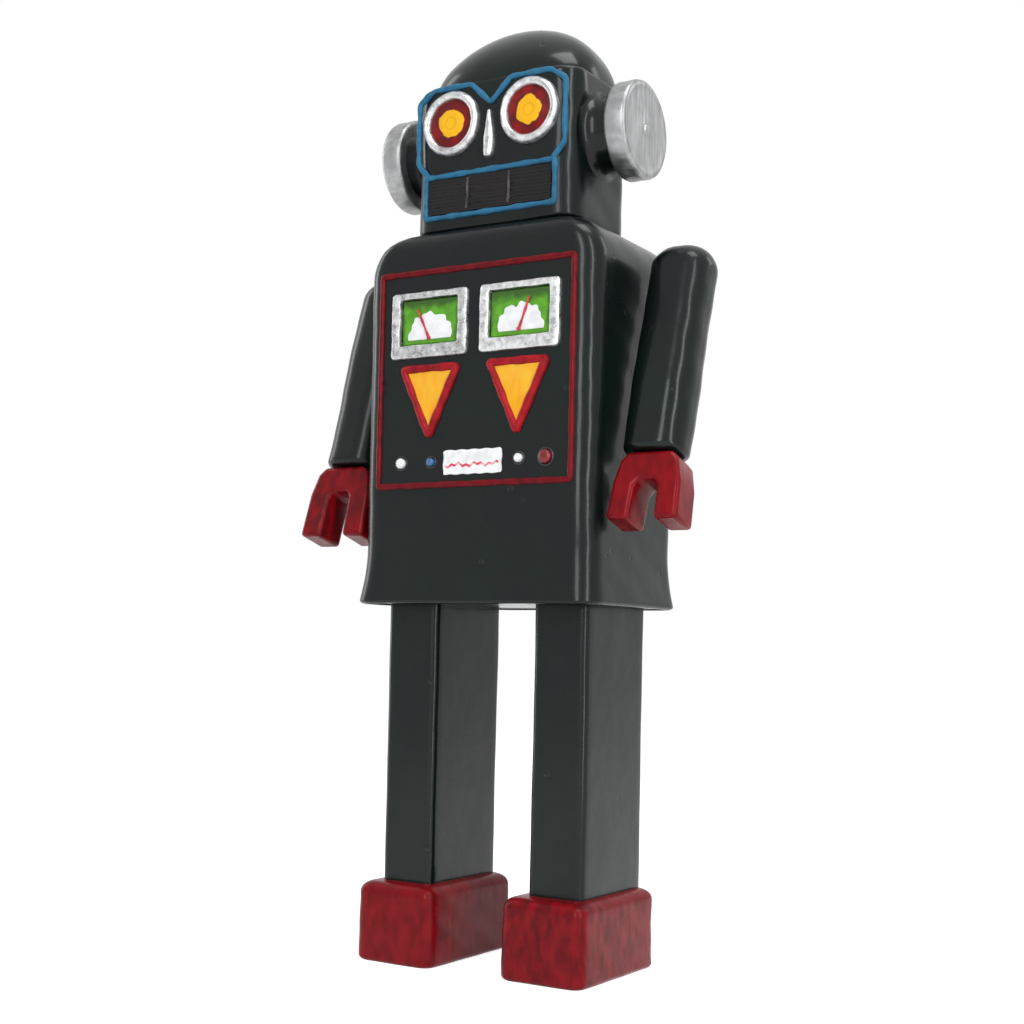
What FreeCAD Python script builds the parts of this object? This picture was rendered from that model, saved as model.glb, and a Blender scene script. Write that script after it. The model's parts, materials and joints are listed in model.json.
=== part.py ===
"""Battery walking robot toy, standing, about 300 mm tall.

The robot stands on the plane z = 0 and looks along -Y.  +X is the robot's own left side.
A motor and two gear stages turn a crank shaft.  Its two pins swing the leg levers, and each
leg lever swings the arm on its own side the other way.  Every size that can be set by itself
is a cell of the spreadsheet "Sizes"; lengths are millimetres and angles are degrees.
"""
import FreeCAD, Part
import math
import os
import re

import Sketcher

SIZES = {
    # torso case
    "torso_width": 84.0, "torso_depth": 58.0, "torso_bottom": 113.0, "torso_top": 231.0,
    "torso_corner": 7.0, "shoulder_round": 14.0, "case_wall": 2.2,
    "skirt_flare": 1.6, "skirt_height": 15.0, "case_split": 3.0,
    "base_thick": 2.5, "base_recess": 0.4, "seat_gap": 0.15,
    # case screws, two on each side
    "screw_across": 74.0, "screw_low": 135.0, "screw_high": 174.0, "screw_radius": 1.2,
    "screw_head": 2.3, "screw_head_thick": 1.6, "screw_length": 34.0, "post_radius": 2.6,
    # chest panel
    "border_width": 71.6, "border_low": 149.0, "border_high": 218.2, "border_line": 1.9,
    "border_raise": 0.9, "panel_thick": 1.0,
    "gauge_centre": 16.4, "gauge_width": 28.2, "gauge_low": 190.1, "gauge_high": 211.0,
    "gauge_frame_side": 3.4, "gauge_frame_top": 2.2, "gauge_frame_bottom": 4.2, "gauge_raise": 1.4,
    "dial_thick": 0.8, "needle_radius": 0.7, "needle_length": 9.0, "needle_thick": 0.5,
    "needle_left_angle": 20.0, "needle_right_angle": -25.0,
    "triangle_centre": 16.0, "triangle_width": 23.2, "triangle_high": 188.0,
    "triangle_low": 163.0, "triangle_rim": 2.6, "triangle_raise": 1.5, "lens_raise": 0.6,
    "chart_width": 21.1, "chart_centre": 0.4, "chart_low": 152.9, "chart_high": 160.5,
    "chart_raise": 0.5,
    # push buttons: centre across the panel and radius of each
    "button_level": 157.1, "button_raise": 1.3, "button_travel": 1.0, "button_gap": 0.09,
    "button_flange": 0.8,
    "button_white_right_x": -26.2, "button_white_right_radius": 1.6,
    "button_blue_x": -14.9, "button_blue_radius": 1.25,
    "button_white_left_x": 16.9, "button_white_left_radius": 1.35,
    "button_red_x": 26.2, "button_red_radius": 2.1,
    "board_width": 66.0, "board_low": 149.8, "board_high": 164.2, "board_thick": 1.5,
    "board_front": 5.3, "switch_size": 5.0, "board_post": 1.5, "board_post_across": 62.2,
    # batteries behind the back door
    "cell_radius": 7.15, "cell_length": 50.0, "cell_pitch": 14.9, "cell_low": 180.4,
    "cell_depth": 18.5, "cell_gap": 0.3, "tray_wall": 1.4, "contact_thick": 0.4, "contact_gap": 0.9,
    "door_width": 52.4, "door_low": 174.6, "door_high": 216.2, "door_gap": 0.3,
    "door_pin_up": 1.4, "door_pin_radius": 0.7, "door_relief": 0.4, "door_pin_length": 60.0,
    # power switch on the back
    "power_level": 163.0, "power_travel": 5.0, "power_knob_width": 4.0, "power_knob_height": 2.8,
    "power_knob_raise": 1.5, "power_body_width": 20.0, "power_body_height": 7.0,
    "power_body_depth": 4.0,
    # neck and head
    "neck_radius": 8.0, "neck_flange": 10.6, "neck_flange_thick": 2.0, "neck_y": -3.0,
    "head_width": 59.4, "head_depth": 38.9, "head_y": -2.95, "head_low": 231.3,
    "head_high": 278.8, "head_corner": 8.0, "head_wall": 2.2, "dome_rise": 21.2,
    "ear_level": 260.6, "ear_y": -3.4, "ear_radius": 15.2, "ear_thick": 7.6, "ear_face": 45.0,
    "ear_boss_radius": 11.5, "ear_pip": 1.7, "ear_pip_raise": 0.5,
    # face
    "trim_line": 1.8, "trim_raise": 0.9, "brow_half": 27.7, "brow_top": 278.4,
    "brow_side": 274.3, "notch_low": 270.8, "notch_half": 7.3, "brow_step": 22.0,
    "cheek_level": 254.0, "cheek_half": 23.5, "mouth_half": 24.5, "mouth_low": 235.2,
    "mouth_high": 250.2, "grille_raise": 0.5, "grille_rib": 0.5, "grille_ribs": 5,
    "eye_centre": 14.3, "eye_level": 265.8, "eye_radius": 10.4, "iris_radius": 7.6,
    "eye_raise": 2.2, "iris_raise": 0.9, "nose_top": 268.0, "nose_low": 253.0,
    "nose_half": 1.9, "nose_raise": 2.4,
    # arms and hands, in the arm's own frame with its origin at the shoulder pivot
    "shoulder_level": 213.0, "arm_centre": 55.0, "arm_width": 20.0, "arm_depth": 17.0,
    "arm_above": 11.5, "arm_below": 58.0, "arm_corner": 7.5, "arm_crown": 7.2, "arm_rim": 2.0,
    "arm_tilt": -16.5, "spigot_radius": 4.0, "spigot_gap": 0.1, "collar_radius": 6.0,
    "side_gap": 0.3, "wrist_radius": 4.5, "wrist_gap": 0.1, "wrist_length": 9.0,
    "hand_centre": 56.0, "hand_width": 25.0, "hand_depth": 12.0, "hand_height": 24.4,
    "hand_slot": 8.0, "hand_slot_height": 14.5, "hand_corner": 2.0, "hand_top": 3.0,
    "hand_tip": 1.2,
    # legs and feet
    "leg_centre": 27.05, "leg_width": 18.8, "leg_depth": 39.7, "leg_y": -0.15, "leg_top": 117.5,
    "leg_corner": 1.5, "leg_wall": 2.0, "leg_gap": 1.2,
    "foot_centre": 26.6, "foot_width": 28.5, "foot_depth": 48.9, "foot_y": -2.95,
    "foot_height": 21.0, "foot_corner": 4.5, "foot_top": 3.5, "foot_sole": 1.5, "foot_key": 4.0,
    "roller_radius": 4.5, "roller_width": 10.0, "roller_y": -12.0, "roller_gap": 0.5,
    "axle_radius": 1.2, "axle_gap": 0.08, "axle_reach": 3.0,
    # drive: shafts run along X at these depths and levels
    "drive_y": 3.0, "hip_level": 120.0, "crank_level": 150.0, "hip_radius": 2.0,
    "shaft_gap": 0.08, "hub_radius": 5.0, "hip_ear": 2.0,
    "crank_radius": 2.0, "crank_throw": 4.0, "crank_disc": 7.0, "crank_disc_inner": 22.0,
    "crank_disc_outer": 26.0, "pin_radius": 1.5, "pin_clearance": 0.5,
    "lever_inner": 30.5, "lever_thick": 3.0, "lever_half": 4.5, "lever_top": 199.0,
    "fork_low": 186.5, "arm_lever_inner": 34.5, "arm_lever_thick": 2.5, "arm_lever_drop": 22.0,
    "arm_lever_half": 3.0, "arm_lever_hub": 5.5,
    # gears
    "crank_teeth": 36, "lay_pinion_teeth": 10, "crank_module": 0.8, "lay_teeth": 30,
    "motor_teeth": 10, "motor_module": 0.6, "backlash": 0.2, "lay_angle": 217.0,
    "gear_width": 4.0, "lay_radius": 1.2,
    # gearbox frame and motor
    "frame_inner": 14.0, "frame_thick": 2.0, "frame_front": -23.0, "frame_back": 20.0,
    "frame_low_front": 142.0, "frame_high_front": -8.0, "frame_high": 164.0, "frame_bar": 2.0,
    "motor_radius": 10.0, "motor_flat": 13.0, "motor_length": 25.0, "motor_boss": 3.0,
    "motor_shaft": 1.0,
}

SIDES = {"left": 1, "right": -1}
doc = FreeCAD.newDocument("walking_robot")
sheet = doc.addObject("Spreadsheet::Sheet", "Sizes")
for row, (alias, number) in enumerate(SIZES.items(), 1):
    sheet.set(f"A{row}", alias)
    sheet.set(f"B{row}", str(number))
    sheet.setAlias(f"B{row}", alias)
doc.recompute()
nodes = []


# ---------------------------------------------------------------- helpers
def formula(text):
    """A formula in size names, with each name given its place in the spreadsheet."""
    words = re.split(r"([A-Za-z_][A-Za-z_0-9]*)", str(text))
    return "".join("Sizes." + word if word in SIZES else word for word in words)


def bind(item, **formulas):
    """Bind properties to formulas; __ in a name stands for the dot of a nested property."""
    for name, text in formulas.items():
        item.setExpression(name.replace("__", "."), formula(text))


def place(item, x=0, y=0, z=0):
    bind(item, Placement__Base__x=x, Placement__Base__y=y, Placement__Base__z=z)
    return item


def turn(item, axis, angle):
    """Turn an item about an axis through its own origin by a bound angle."""
    item.Placement = FreeCAD.Placement(FreeCAD.Vector(), FreeCAD.Rotation(axis, 1))
    bind(item, Placement__Rotation__Angle=angle)
    return item


def box(name, x, y, z):
    """A box between two formulas on each axis."""
    item = doc.addObject("Part::Box", name)
    bind(item, Length=f"({x[1]}) - ({x[0]})", Width=f"({y[1]}) - ({y[0]})",
         Height=f"({z[1]}) - ({z[0]})")
    return place(item, x[0], y[0], z[0])


def rod(name, axis, radius, span, across):
    """A cylinder along an axis: its span on that axis and its centre on the other two."""
    item = doc.addObject("Part::Cylinder", name)
    turns = {"x": (FreeCAD.Vector(0, 1, 0), 90), "y": (FreeCAD.Vector(1, 0, 0), -90),
             "z": (FreeCAD.Vector(0, 0, 1), 0)}
    item.Placement = FreeCAD.Placement(FreeCAD.Vector(), FreeCAD.Rotation(*turns[axis]))
    bind(item, Radius=radius, Height=f"({span[1]}) - ({span[0]})")
    where = list(across)
    where.insert("xyz".index(axis), span[0])
    return place(item, *where)


def group(kind, name, items):
    item = doc.addObject(kind, name)
    item.Shapes = list(items)
    return item


def fuse(name, *items):
    return group("Part::MultiFuse", name, items)


def common(name, *items):
    return group("Part::MultiCommon", name, items)


def cut(name, base, *tools):
    item = doc.addObject("Part::Cut", name)
    item.Base = base
    item.Tool = tools[0] if len(tools) == 1 else fuse(name + "_tools", *tools)
    return item


def node(item):
    """Keep an item as one of the robot's separate pieces."""
    nodes.append(item)
    return item


def span(side, low, high):
    """A range on +X for the left side, mirrored for the right side."""
    return (f"{low}", f"{high}") if side > 0 else (f"-({high})", f"-({low})")


def edge_names(shape, test):
    """The names of the edges whose bounding box passes a test against the whole shape's."""
    whole = shape.BoundBox
    return [f"Edge{i}" for i, edge in enumerate(shape.Edges, 1) if test(edge.BoundBox, whole)]


def near(a, b):
    return abs(a - b) < 0.01


EDGE_TESTS = {
    "sides": lambda edge, whole: near(edge.ZLength, whole.ZLength),
    "top": lambda edge, whole: near(edge.ZMin, whole.ZMax),
    "bottom": lambda edge, whole: near(edge.ZMax, whole.ZMin),
    "shoulders": lambda edge, whole: near(edge.ZMin, whole.ZMax) and near(edge.YLength, whole.YLength),
}


def block(name, width, depth, height, at=(0, 0, 0), taper=None, **rounds):
    """A padded rectangle, centred in plan on its place, with edge groups rounded in turn."""
    body = doc.addObject("PartDesign::Body", name)
    sketch = body.newObject("Sketcher::SketchObject", name + "_plan")
    plane = [part for part in body.Origin.OriginFeatures if part.Role == "XY_Plane"][0]
    sketch.AttachmentSupport = (plane, [""])
    sketch.MapMode = "FlatFace"
    corners = [(-1, -1), (1, -1), (1, 1), (-1, 1)]
    draw_outline(sketch, [(f"{i} * ({width}) / 2", f"{j} * ({depth}) / 2") for i, j in corners],
                 [(10 * i, 10 * j) for i, j in corners])
    pad = body.newObject("PartDesign::Pad", name + "_pad")
    pad.Profile = sketch
    bind(pad, Length=height)
    if taper:
        bind(pad, TaperAngle=taper)
    doc.recompute()
    for kind, radius in rounds.items():
        last = body.Tip
        fillet = body.newObject("PartDesign::Fillet", f"{name}_{kind}")
        fillet.Base = (last, edge_names(last.Shape, EDGE_TESTS[kind]))
        bind(fillet, Radius=radius)
        doc.recompute()
    return place(body, *at)


def draw_outline(sketch, points, start):
    """A closed outline of straight lines, each corner held at its two bound coordinates."""
    count = len(points)
    for i in range(count):
        ends = [FreeCAD.Vector(*start[k % count], 0) for k in (i, i + 1)]
        sketch.addGeometry(Part.LineSegment(*ends), False)
    for i in range(count):
        sketch.addConstraint(Sketcher.Constraint("Coincident", i, 2, (i + 1) % count, 1))
    for i, (across, along) in enumerate(points):
        for kind, text, value in (("DistanceX", across, start[i][0]), ("DistanceY", along, start[i][1])):
            number = sketch.addConstraint(Sketcher.Constraint(kind, -1, 1, i, 1, float(value)))
            sketch.setExpression(f"Constraints[{number}]", formula(text))


def front_outline(name, points):
    """A sketch that faces -Y: first coordinate along X, second along Z."""
    sketch = doc.addObject("Sketcher::SketchObject", name)
    sketch.Placement = FreeCAD.Placement(FreeCAD.Vector(), FreeCAD.Rotation(FreeCAD.Vector(1, 0, 0), 90))
    count = len(points)
    start = [(50 * math.cos(2 * math.pi * i / count) + 1, 50 * math.sin(2 * math.pi * i / count) + 1)
             for i in range(count)]
    draw_outline(sketch, points, start)
    return sketch


def inset(name, source, distance, ring):
    """A flat outline moved inwards: the ring between the two, or the inner outline alone."""
    item = doc.addObject("Part::Offset2D", name)
    item.Source = source
    item.Join = "Intersection"
    item.Fill = ring
    item.Value = -1
    bind(item, Value=f"-({distance})")
    return item


def raise_front(name, source, start, height):
    """Extrude a front outline from the depth start towards -Y."""
    item = doc.addObject("Part::Extrusion", name)
    item.Base = source
    item.DirMode = "Custom"
    item.Dir = FreeCAD.Vector(0, -1, 0)
    item.Solid = True
    bind(item, LengthFwd=height)
    return place(item, y=start)


# ---------------------------------------------------------------- torso case
FRONT = "-torso_depth / 2"
BACK = "torso_depth / 2"
SCREWS = [(f"{side} * screw_across / 2", level) for side in SIDES.values()
          for level in ("screw_low", "screw_high")]
BUTTONS = ("button_white_right", "button_blue", "button_white_left", "button_red")
WINDOW = {
    "wide": "gauge_width - 2 * gauge_frame_side",
    "z": ("gauge_low + gauge_frame_bottom", "gauge_high - gauge_frame_top"),
}


def torso_form(name, margin, drop):
    """The torso block with rounded corners and shoulders, drawn in by a margin."""
    sizes = (f"torso_width - 2 * ({margin})", f"torso_depth - 2 * ({margin})",
             f"torso_top - torso_bottom - ({margin}) + {drop}")
    at = (0, 0, f"torso_bottom - {drop}")
    plan = block(name + "_plan", *sizes, at, sides=f"torso_corner - ({margin})")
    front = block(name + "_front", *sizes, at, shoulders=f"shoulder_round - ({margin})")
    return common(name, plan, front)


def window_box(name, side, deep):
    """The gauge window on one side, cut from in front of the chest to a depth."""
    middle = f"{side} * gauge_centre"
    wide = (f"{middle} - ({WINDOW['wide']}) / 2", f"{middle} + ({WINDOW['wide']}) / 2")
    return box(name, wide, (f"{FRONT} - 3", deep), WINDOW["z"])


def build_case():
    skirt = block("skirt", "torso_width + 2 * skirt_flare", "torso_depth + 2 * skirt_flare",
                  "skirt_height", (0, 0, "torso_bottom"), "-atan(skirt_flare / skirt_height)",
                  sides="torso_corner")
    outer = fuse("case_outer", torso_form("case_form", 0, 0), skirt)
    walls = cut("case_walls", outer, torso_form("case_hollow", "case_wall", 1))
    posts, holes = [], []
    for i, (across, level) in enumerate(SCREWS):
        posts.append(rod(f"post_{i}", "y", "post_radius",
                         (f"{FRONT} + case_wall / 2", f"{BACK} - case_wall / 2"), (across, level)))
        holes.append(rod(f"screw_hole_{i}", "y", "screw_radius + 0.1",
                         (f"{BACK} - screw_length - 1", f"{BACK} + 1"), (across, level)))
        holes.append(rod(f"head_hole_{i}", "y", "screw_head + 0.1",
                         (f"{BACK} - screw_head_thick - 0.2", f"{BACK} + 1"), (across, level)))
    for i, side in enumerate(SIDES.values()):
        posts.append(rod(f"board_post_{i}", "y", "board_post",
                         (f"{FRONT} + case_wall / 2", f"{FRONT} + case_wall + board_front"),
                         (f"{side} * board_post_across / 2", "button_level")))
        holes.append(rod(f"shoulder_hole_{i}", "x", "spigot_radius + spigot_gap",
                         span(side, "torso_width / 2 - case_wall - 1", "torso_width / 2 + 1"),
                         ("drive_y", "shoulder_level")))
        holes.append(window_box(f"case_window_{i}", side, f"{FRONT} + case_wall + 0.5"))
    holes.append(box("panel_recess", ("border_line - border_width / 2", "border_width / 2 - border_line"),
                     (f"{FRONT} - 1", f"{FRONT} + panel_thick"),
                     ("border_low + border_line", "border_high - border_line")))
    for button in BUTTONS:
        holes.append(rod(f"{button}_case_hole", "y", f"{button}_radius + button_gap",
                         (f"{FRONT} - 1", f"{FRONT} + case_wall + 1"), (f"{button}_x", "button_level")))
    holes.append(rod("neck_hole", "z", "neck_radius + 0.1", ("torso_top - case_wall - 1", "torso_top + 1"),
                     (0, "neck_y")))
    holes.append(box("door_hole", ("-door_width / 2 - door_gap", "door_width / 2 + door_gap"),
                     (f"{BACK} - case_wall - 0.5", f"{BACK} + 1"),
                     ("door_low - door_gap - door_relief", "door_high + door_gap")))
    holes.append(rod("door_pin_hole", "x", "door_pin_radius + 0.05",
                     ("-door_pin_length / 2 - 0.2", "door_pin_length / 2 + 0.2"),
                     (f"{BACK} - case_wall / 2", "door_low + door_pin_up")))
    knob_reach = "power_knob_width / 2 + power_travel / 2 + 0.3"
    holes.append(box("power_slot", (f"-({knob_reach})", knob_reach),
                     (f"{BACK} - case_wall - 1", f"{BACK} + 1"),
                     ("power_level - power_knob_height / 2 - 0.1",
                      "power_level + power_knob_height / 2 + 0.1")))
    shell = cut("case_shell", fuse("case_with_posts", walls, *posts), *holes)
    room = ("-torso_width", "torso_width")
    tall = ("torso_bottom - 10", "torso_top + 10")
    node(common("torso_front_shell", shell,
                box("front_half", room, ("-torso_depth", "case_split"), tall)))
    node(common("torso_back_shell", shell,
                box("back_half", room, ("case_split", "torso_depth"), tall)))
    screws = []
    for i, (across, level) in enumerate(SCREWS):
        screws.append(rod(f"screw_shank_{i}", "y", "screw_radius",
                          (f"{BACK} - screw_length", f"{BACK} - screw_head_thick"), (across, level)))
        screws.append(rod(f"screw_head_{i}", "y", "screw_head",
                          (f"{BACK} - screw_head_thick - 0.1", f"{BACK} - 0.1"), (across, level)))
    node(fuse("case_screws", *screws))


def build_base():
    """The plate that closes the underside, with a slot for each leg and ears for the hip shaft."""
    low = "torso_bottom + base_recess"
    plate = block("base_blank", "torso_width - 2 * case_wall - 2 * seat_gap",
                  "torso_depth - 2 * case_wall - 2 * seat_gap", "base_thick", (0, 0, low),
                  sides="torso_corner - case_wall")
    ears, slots = [], []
    for i, side in enumerate(SIDES.values()):
        outer = "torso_width / 2 - case_wall - 0.8"
        ears.append(box(f"hip_ear_{i}", span(side, f"{outer} - hip_ear", outer),
                        ("drive_y - hub_radius", "drive_y + hub_radius"),
                        (f"{low} + base_thick / 2", "hip_level + hip_radius + 2.5")))
        slots.append(box(f"leg_slot_{i}",
                         span(side, "leg_centre - leg_width / 2 - leg_gap / 2",
                              "leg_centre + leg_width / 2 + leg_gap / 2"),
                         ("leg_y - leg_depth / 2 - leg_gap", "leg_y + leg_depth / 2 + leg_gap"),
                         (f"{low} - 1", f"{low} + base_thick + 1")))
    slots.append(rod("hip_ear_bore", "x", "hip_radius + 0.03", ("-torso_width / 2", "torso_width / 2"),
                     ("drive_y", "hip_level")))
    node(cut("base_plate", fuse("base_with_ears", plate, *ears), *slots))
    end = "torso_width / 2 - case_wall - 0.8"
    node(rod("hip_shaft", "x", "hip_radius", (f"-({end})", end), ("drive_y", "hip_level")))


# ---------------------------------------------------------------- chest
def build_chest():
    half = "border_width / 2"
    corners = [(f"-{half}", "border_low"), (half, "border_low"), (half, "border_high"),
               (f"-{half}", "border_high")]
    outline = front_outline("border_outline", corners)
    node(raise_front("panel_border", inset("border_ring", outline, "border_line", True), FRONT,
                     "border_raise"))
    blank = box("panel_blank", ("border_line - border_width / 2", "border_width / 2 - border_line"),
                (FRONT, f"{FRONT} + panel_thick"),
                ("border_low + border_line", "border_high - border_line"))
    holes = [window_box(f"panel_window_{i}", side, f"{FRONT} + panel_thick + 1")
             for i, side in enumerate(SIDES.values())]
    for button in BUTTONS:
        holes.append(rod(f"{button}_panel_hole", "y", f"{button}_radius + button_gap",
                         (f"{FRONT} - 1", f"{FRONT} + panel_thick + 1"), (f"{button}_x", "button_level")))
    node(cut("chest_panel", blank, *holes))
    for name, side in SIDES.items():
        build_gauge(name, side)
        build_triangle(name, side)
    node(box("chart_strip", ("chart_centre - chart_width / 2", "chart_centre + chart_width / 2"),
             (f"{FRONT} - chart_raise", FRONT), ("chart_low", "chart_high")))


def build_gauge(name, side):
    middle = f"{side} * gauge_centre"
    plate = box(f"gauge_plate_{name}", (f"{middle} - gauge_width / 2", f"{middle} + gauge_width / 2"),
                (f"{FRONT} - gauge_raise", FRONT), ("gauge_low", "gauge_high"))
    node(cut(f"gauge_bezel_{name}", plate, window_box(f"bezel_window_{name}", side, f"{FRONT} + 1")))
    wide = f"({WINDOW['wide']}) / 2 - seat_gap"
    dial_back = f"{FRONT} + case_wall"
    pivot_level = "gauge_low + gauge_frame_bottom + needle_radius + 1.2"
    dial = box(f"dial_blank_{name}", (f"{middle} - ({wide})", f"{middle} + ({wide})"),
               (f"{dial_back} - dial_thick", dial_back),
               (f"{WINDOW['z'][0]} + seat_gap", f"{WINDOW['z'][1]} - seat_gap"))
    bore = rod(f"dial_bore_{name}", "y", "needle_radius + 0.08", (f"{dial_back} - 3", f"{dial_back} + 1"),
               (middle, pivot_level))
    node(cut(f"gauge_dial_{name}", dial, bore))
    front = f"-case_wall + dial_thick + 0.4 + needle_thick"
    pointer = box(f"pointer_{name}", ("-0.5", "0.5"), (f"-({front})", f"needle_thick - ({front})"),
                  (0, "needle_length"))
    hub = rod(f"needle_hub_{name}", "y", "needle_radius + 0.6", (f"-({front})", f"needle_thick - ({front})"),
              (0, 0))
    pin = rod(f"needle_pin_{name}", "y", "needle_radius", (f"-({front})", "case_wall + 1"), (0, 0))
    needle = fuse(f"gauge_needle_{name}", pointer, hub, pin)
    turn(needle, FreeCAD.Vector(0, 1, 0), f"needle_{name}_angle")
    node(place(needle, middle, FRONT, pivot_level))


def build_triangle(name, side):
    """A raised rim that points down, with a lens inside it."""
    middle = f"{side} * triangle_centre"
    corners = [(f"{middle} - triangle_width / 2", "triangle_high"), (middle, "triangle_low"),
               (f"{middle} + triangle_width / 2", "triangle_high")]
    outline = front_outline(f"triangle_outline_{name}", corners)
    rim = inset(f"triangle_ring_{name}", outline, "triangle_rim", True)
    inner = inset(f"triangle_inner_{name}", outline, "triangle_rim", False)
    node(raise_front(f"triangle_rim_{name}", rim, FRONT, "triangle_raise"))
    node(raise_front(f"triangle_lens_{name}", inner, FRONT, "lens_raise"))


def build_buttons():
    """Four push buttons, each trapped by a flange behind the case wall, and their board."""
    inside = f"{FRONT} + case_wall"
    switches = []
    for button in BUTTONS:
        across = (f"{button}_x", "button_level")
        cap = rod(f"{button}_cap", "y", f"{button}_radius",
                  (f"{FRONT} - button_raise", f"{inside} + board_front - switch_size / 2 - 0.6 - button_travel"),
                  across)
        flange = rod(f"{button}_flange", "y", f"{button}_radius + button_flange",
                     (f"{inside} + side_gap", f"{inside} + side_gap + 0.8"), across)
        node(fuse(button, cap, flange))
        switches.append(box(f"{button}_switch",
                            (f"{button}_x - switch_size / 2", f"{button}_x + switch_size / 2"),
                            (f"{inside} + board_front - switch_size / 2 - 0.3", f"{inside} + board_front + 0.5"),
                            ("button_level - switch_size / 2", "button_level + switch_size / 2")))
    board = box("board_blank", ("-board_width / 2", "board_width / 2"),
                (f"{inside} + board_front", f"{inside} + board_front + board_thick"),
                ("board_low", "board_high"))
    node(fuse("circuit_board", board, *switches))


# ---------------------------------------------------------------- back: batteries and power switch
def build_battery():
    """Three cells in a tray open to the back, behind a door hinged at its lower edge."""
    end = "cell_length / 2 + contact_gap + contact_thick"
    low, high = "cell_low - cell_radius - cell_gap", "cell_low + 2 * cell_pitch + cell_radius + cell_gap"
    front = "cell_depth - cell_radius - cell_gap"
    back = f"{BACK} - case_wall"
    tray = box("tray_block", (f"-({end}) - tray_wall", f"{end} + tray_wall"),
               (f"{front} - tray_wall", f"{back} - 0.1"), (f"{low} - tray_wall", f"{high} + tray_wall"))
    room = box("tray_room", (f"-({end})", end), (front, f"{back} + 1"), (low, high))
    node(cut("battery_tray", tray, room))
    cells, contacts = [], []
    for i in range(3):
        level = f"cell_low + {i} * cell_pitch"
        cells.append(rod(f"cell_{i}", "x", "cell_radius", ("-cell_length / 2", "cell_length / 2 - 1"),
                         ("cell_depth", level)))
        cells.append(rod(f"cell_tip_{i}", "x", "cell_radius / 3", ("0", "cell_length / 2"),
                         ("cell_depth", level)))
        for j, side in enumerate(SIDES.values()):
            contacts.append(box(f"contact_{i}_{j}", span(side, f"{end} - contact_thick", end),
                                ("cell_depth - cell_radius / 2", "cell_depth + cell_radius / 2"),
                                (f"{level} - cell_radius / 2", f"{level} + cell_radius / 2")))
            contacts.append(rod(f"contact_bump_{i}_{j}", "x", "cell_radius / 3",
                                span(side, f"cell_length / 2", f"{end} - contact_thick"),
                                ("cell_depth", level)))
    node(fuse("battery_cells", *cells))
    node(fuse("battery_contacts", *contacts))
    axis = (f"{BACK} - case_wall / 2", "door_low + door_pin_up")
    plate = box("door_plate", ("-door_width / 2", "door_width / 2"), (f"{BACK} - case_wall", BACK),
                ("door_low", "door_high"))
    grip = box("door_grip", ("-door_width / 8", "door_width / 8"), (f"{BACK} - 0.8", f"{BACK} + 1"),
               ("door_high - 3.5", "door_high - 1.5"))
    bore = rod("door_bore", "x", "door_pin_radius + 0.08", ("-door_width", "door_width"), axis)
    node(cut("battery_door", plate, bore, grip))
    node(rod("door_hinge_pin", "x", "door_pin_radius", ("-door_pin_length / 2", "door_pin_length / 2"),
             axis))


def build_power_switch():
    inside = f"{BACK} - case_wall"
    rest = "-power_travel / 2"
    knob = box("power_stem", (f"{rest} - power_knob_width / 2", f"{rest} + power_knob_width / 2"),
               (f"{inside} - 1", f"{BACK} + power_knob_raise"),
               ("power_level - power_knob_height / 2", "power_level + power_knob_height / 2"))
    tongue = box("power_tongue", (f"{rest} - power_knob_width / 2 - 0.8", f"{rest} + power_knob_width / 2 + 0.8"),
                 (f"{inside} - 1.6", f"{inside} - 0.3"),
                 ("power_level - power_knob_height / 2 - 0.8", "power_level + power_knob_height / 2 + 0.8"))
    node(fuse("power_switch_knob", knob, tongue))
    body = box("power_block", ("-power_body_width / 2", "power_body_width / 2"),
               (f"{inside} - 1.9 - power_body_depth", f"{inside} - 1.9"),
               ("power_level - power_body_height / 2", "power_level + power_body_height / 2"))
    feet = [box(f"power_foot_{i}", span(side, "power_body_width / 2 - 2", "power_body_width / 2"),
                (f"{inside} - 2.5", inside),
                ("power_level - power_body_height / 2", "power_level + power_body_height / 2"))
            for i, side in enumerate(SIDES.values())]
    node(fuse("power_switch_body", body, *feet))


# ---------------------------------------------------------------- head
def build_neck():
    """The post the head turns on, with a flange under the case roof and one in the head."""
    across = (0, "neck_y")
    floor_top = "head_low + head_wall"
    node(fuse("neck_post",
              rod("neck_stem", "z", "neck_radius",
                  ("torso_top - case_wall - neck_flange_thick", f"{floor_top} + side_gap + neck_flange_thick"),
                  across),
              rod("neck_lower_flange", "z", "neck_flange",
                  ("torso_top - case_wall - neck_flange_thick", "torso_top - case_wall"), across),
              rod("neck_upper_flange", "z", "neck_flange",
                  (f"{floor_top} + side_gap", f"{floor_top} + side_gap + neck_flange_thick"), across)))


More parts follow.
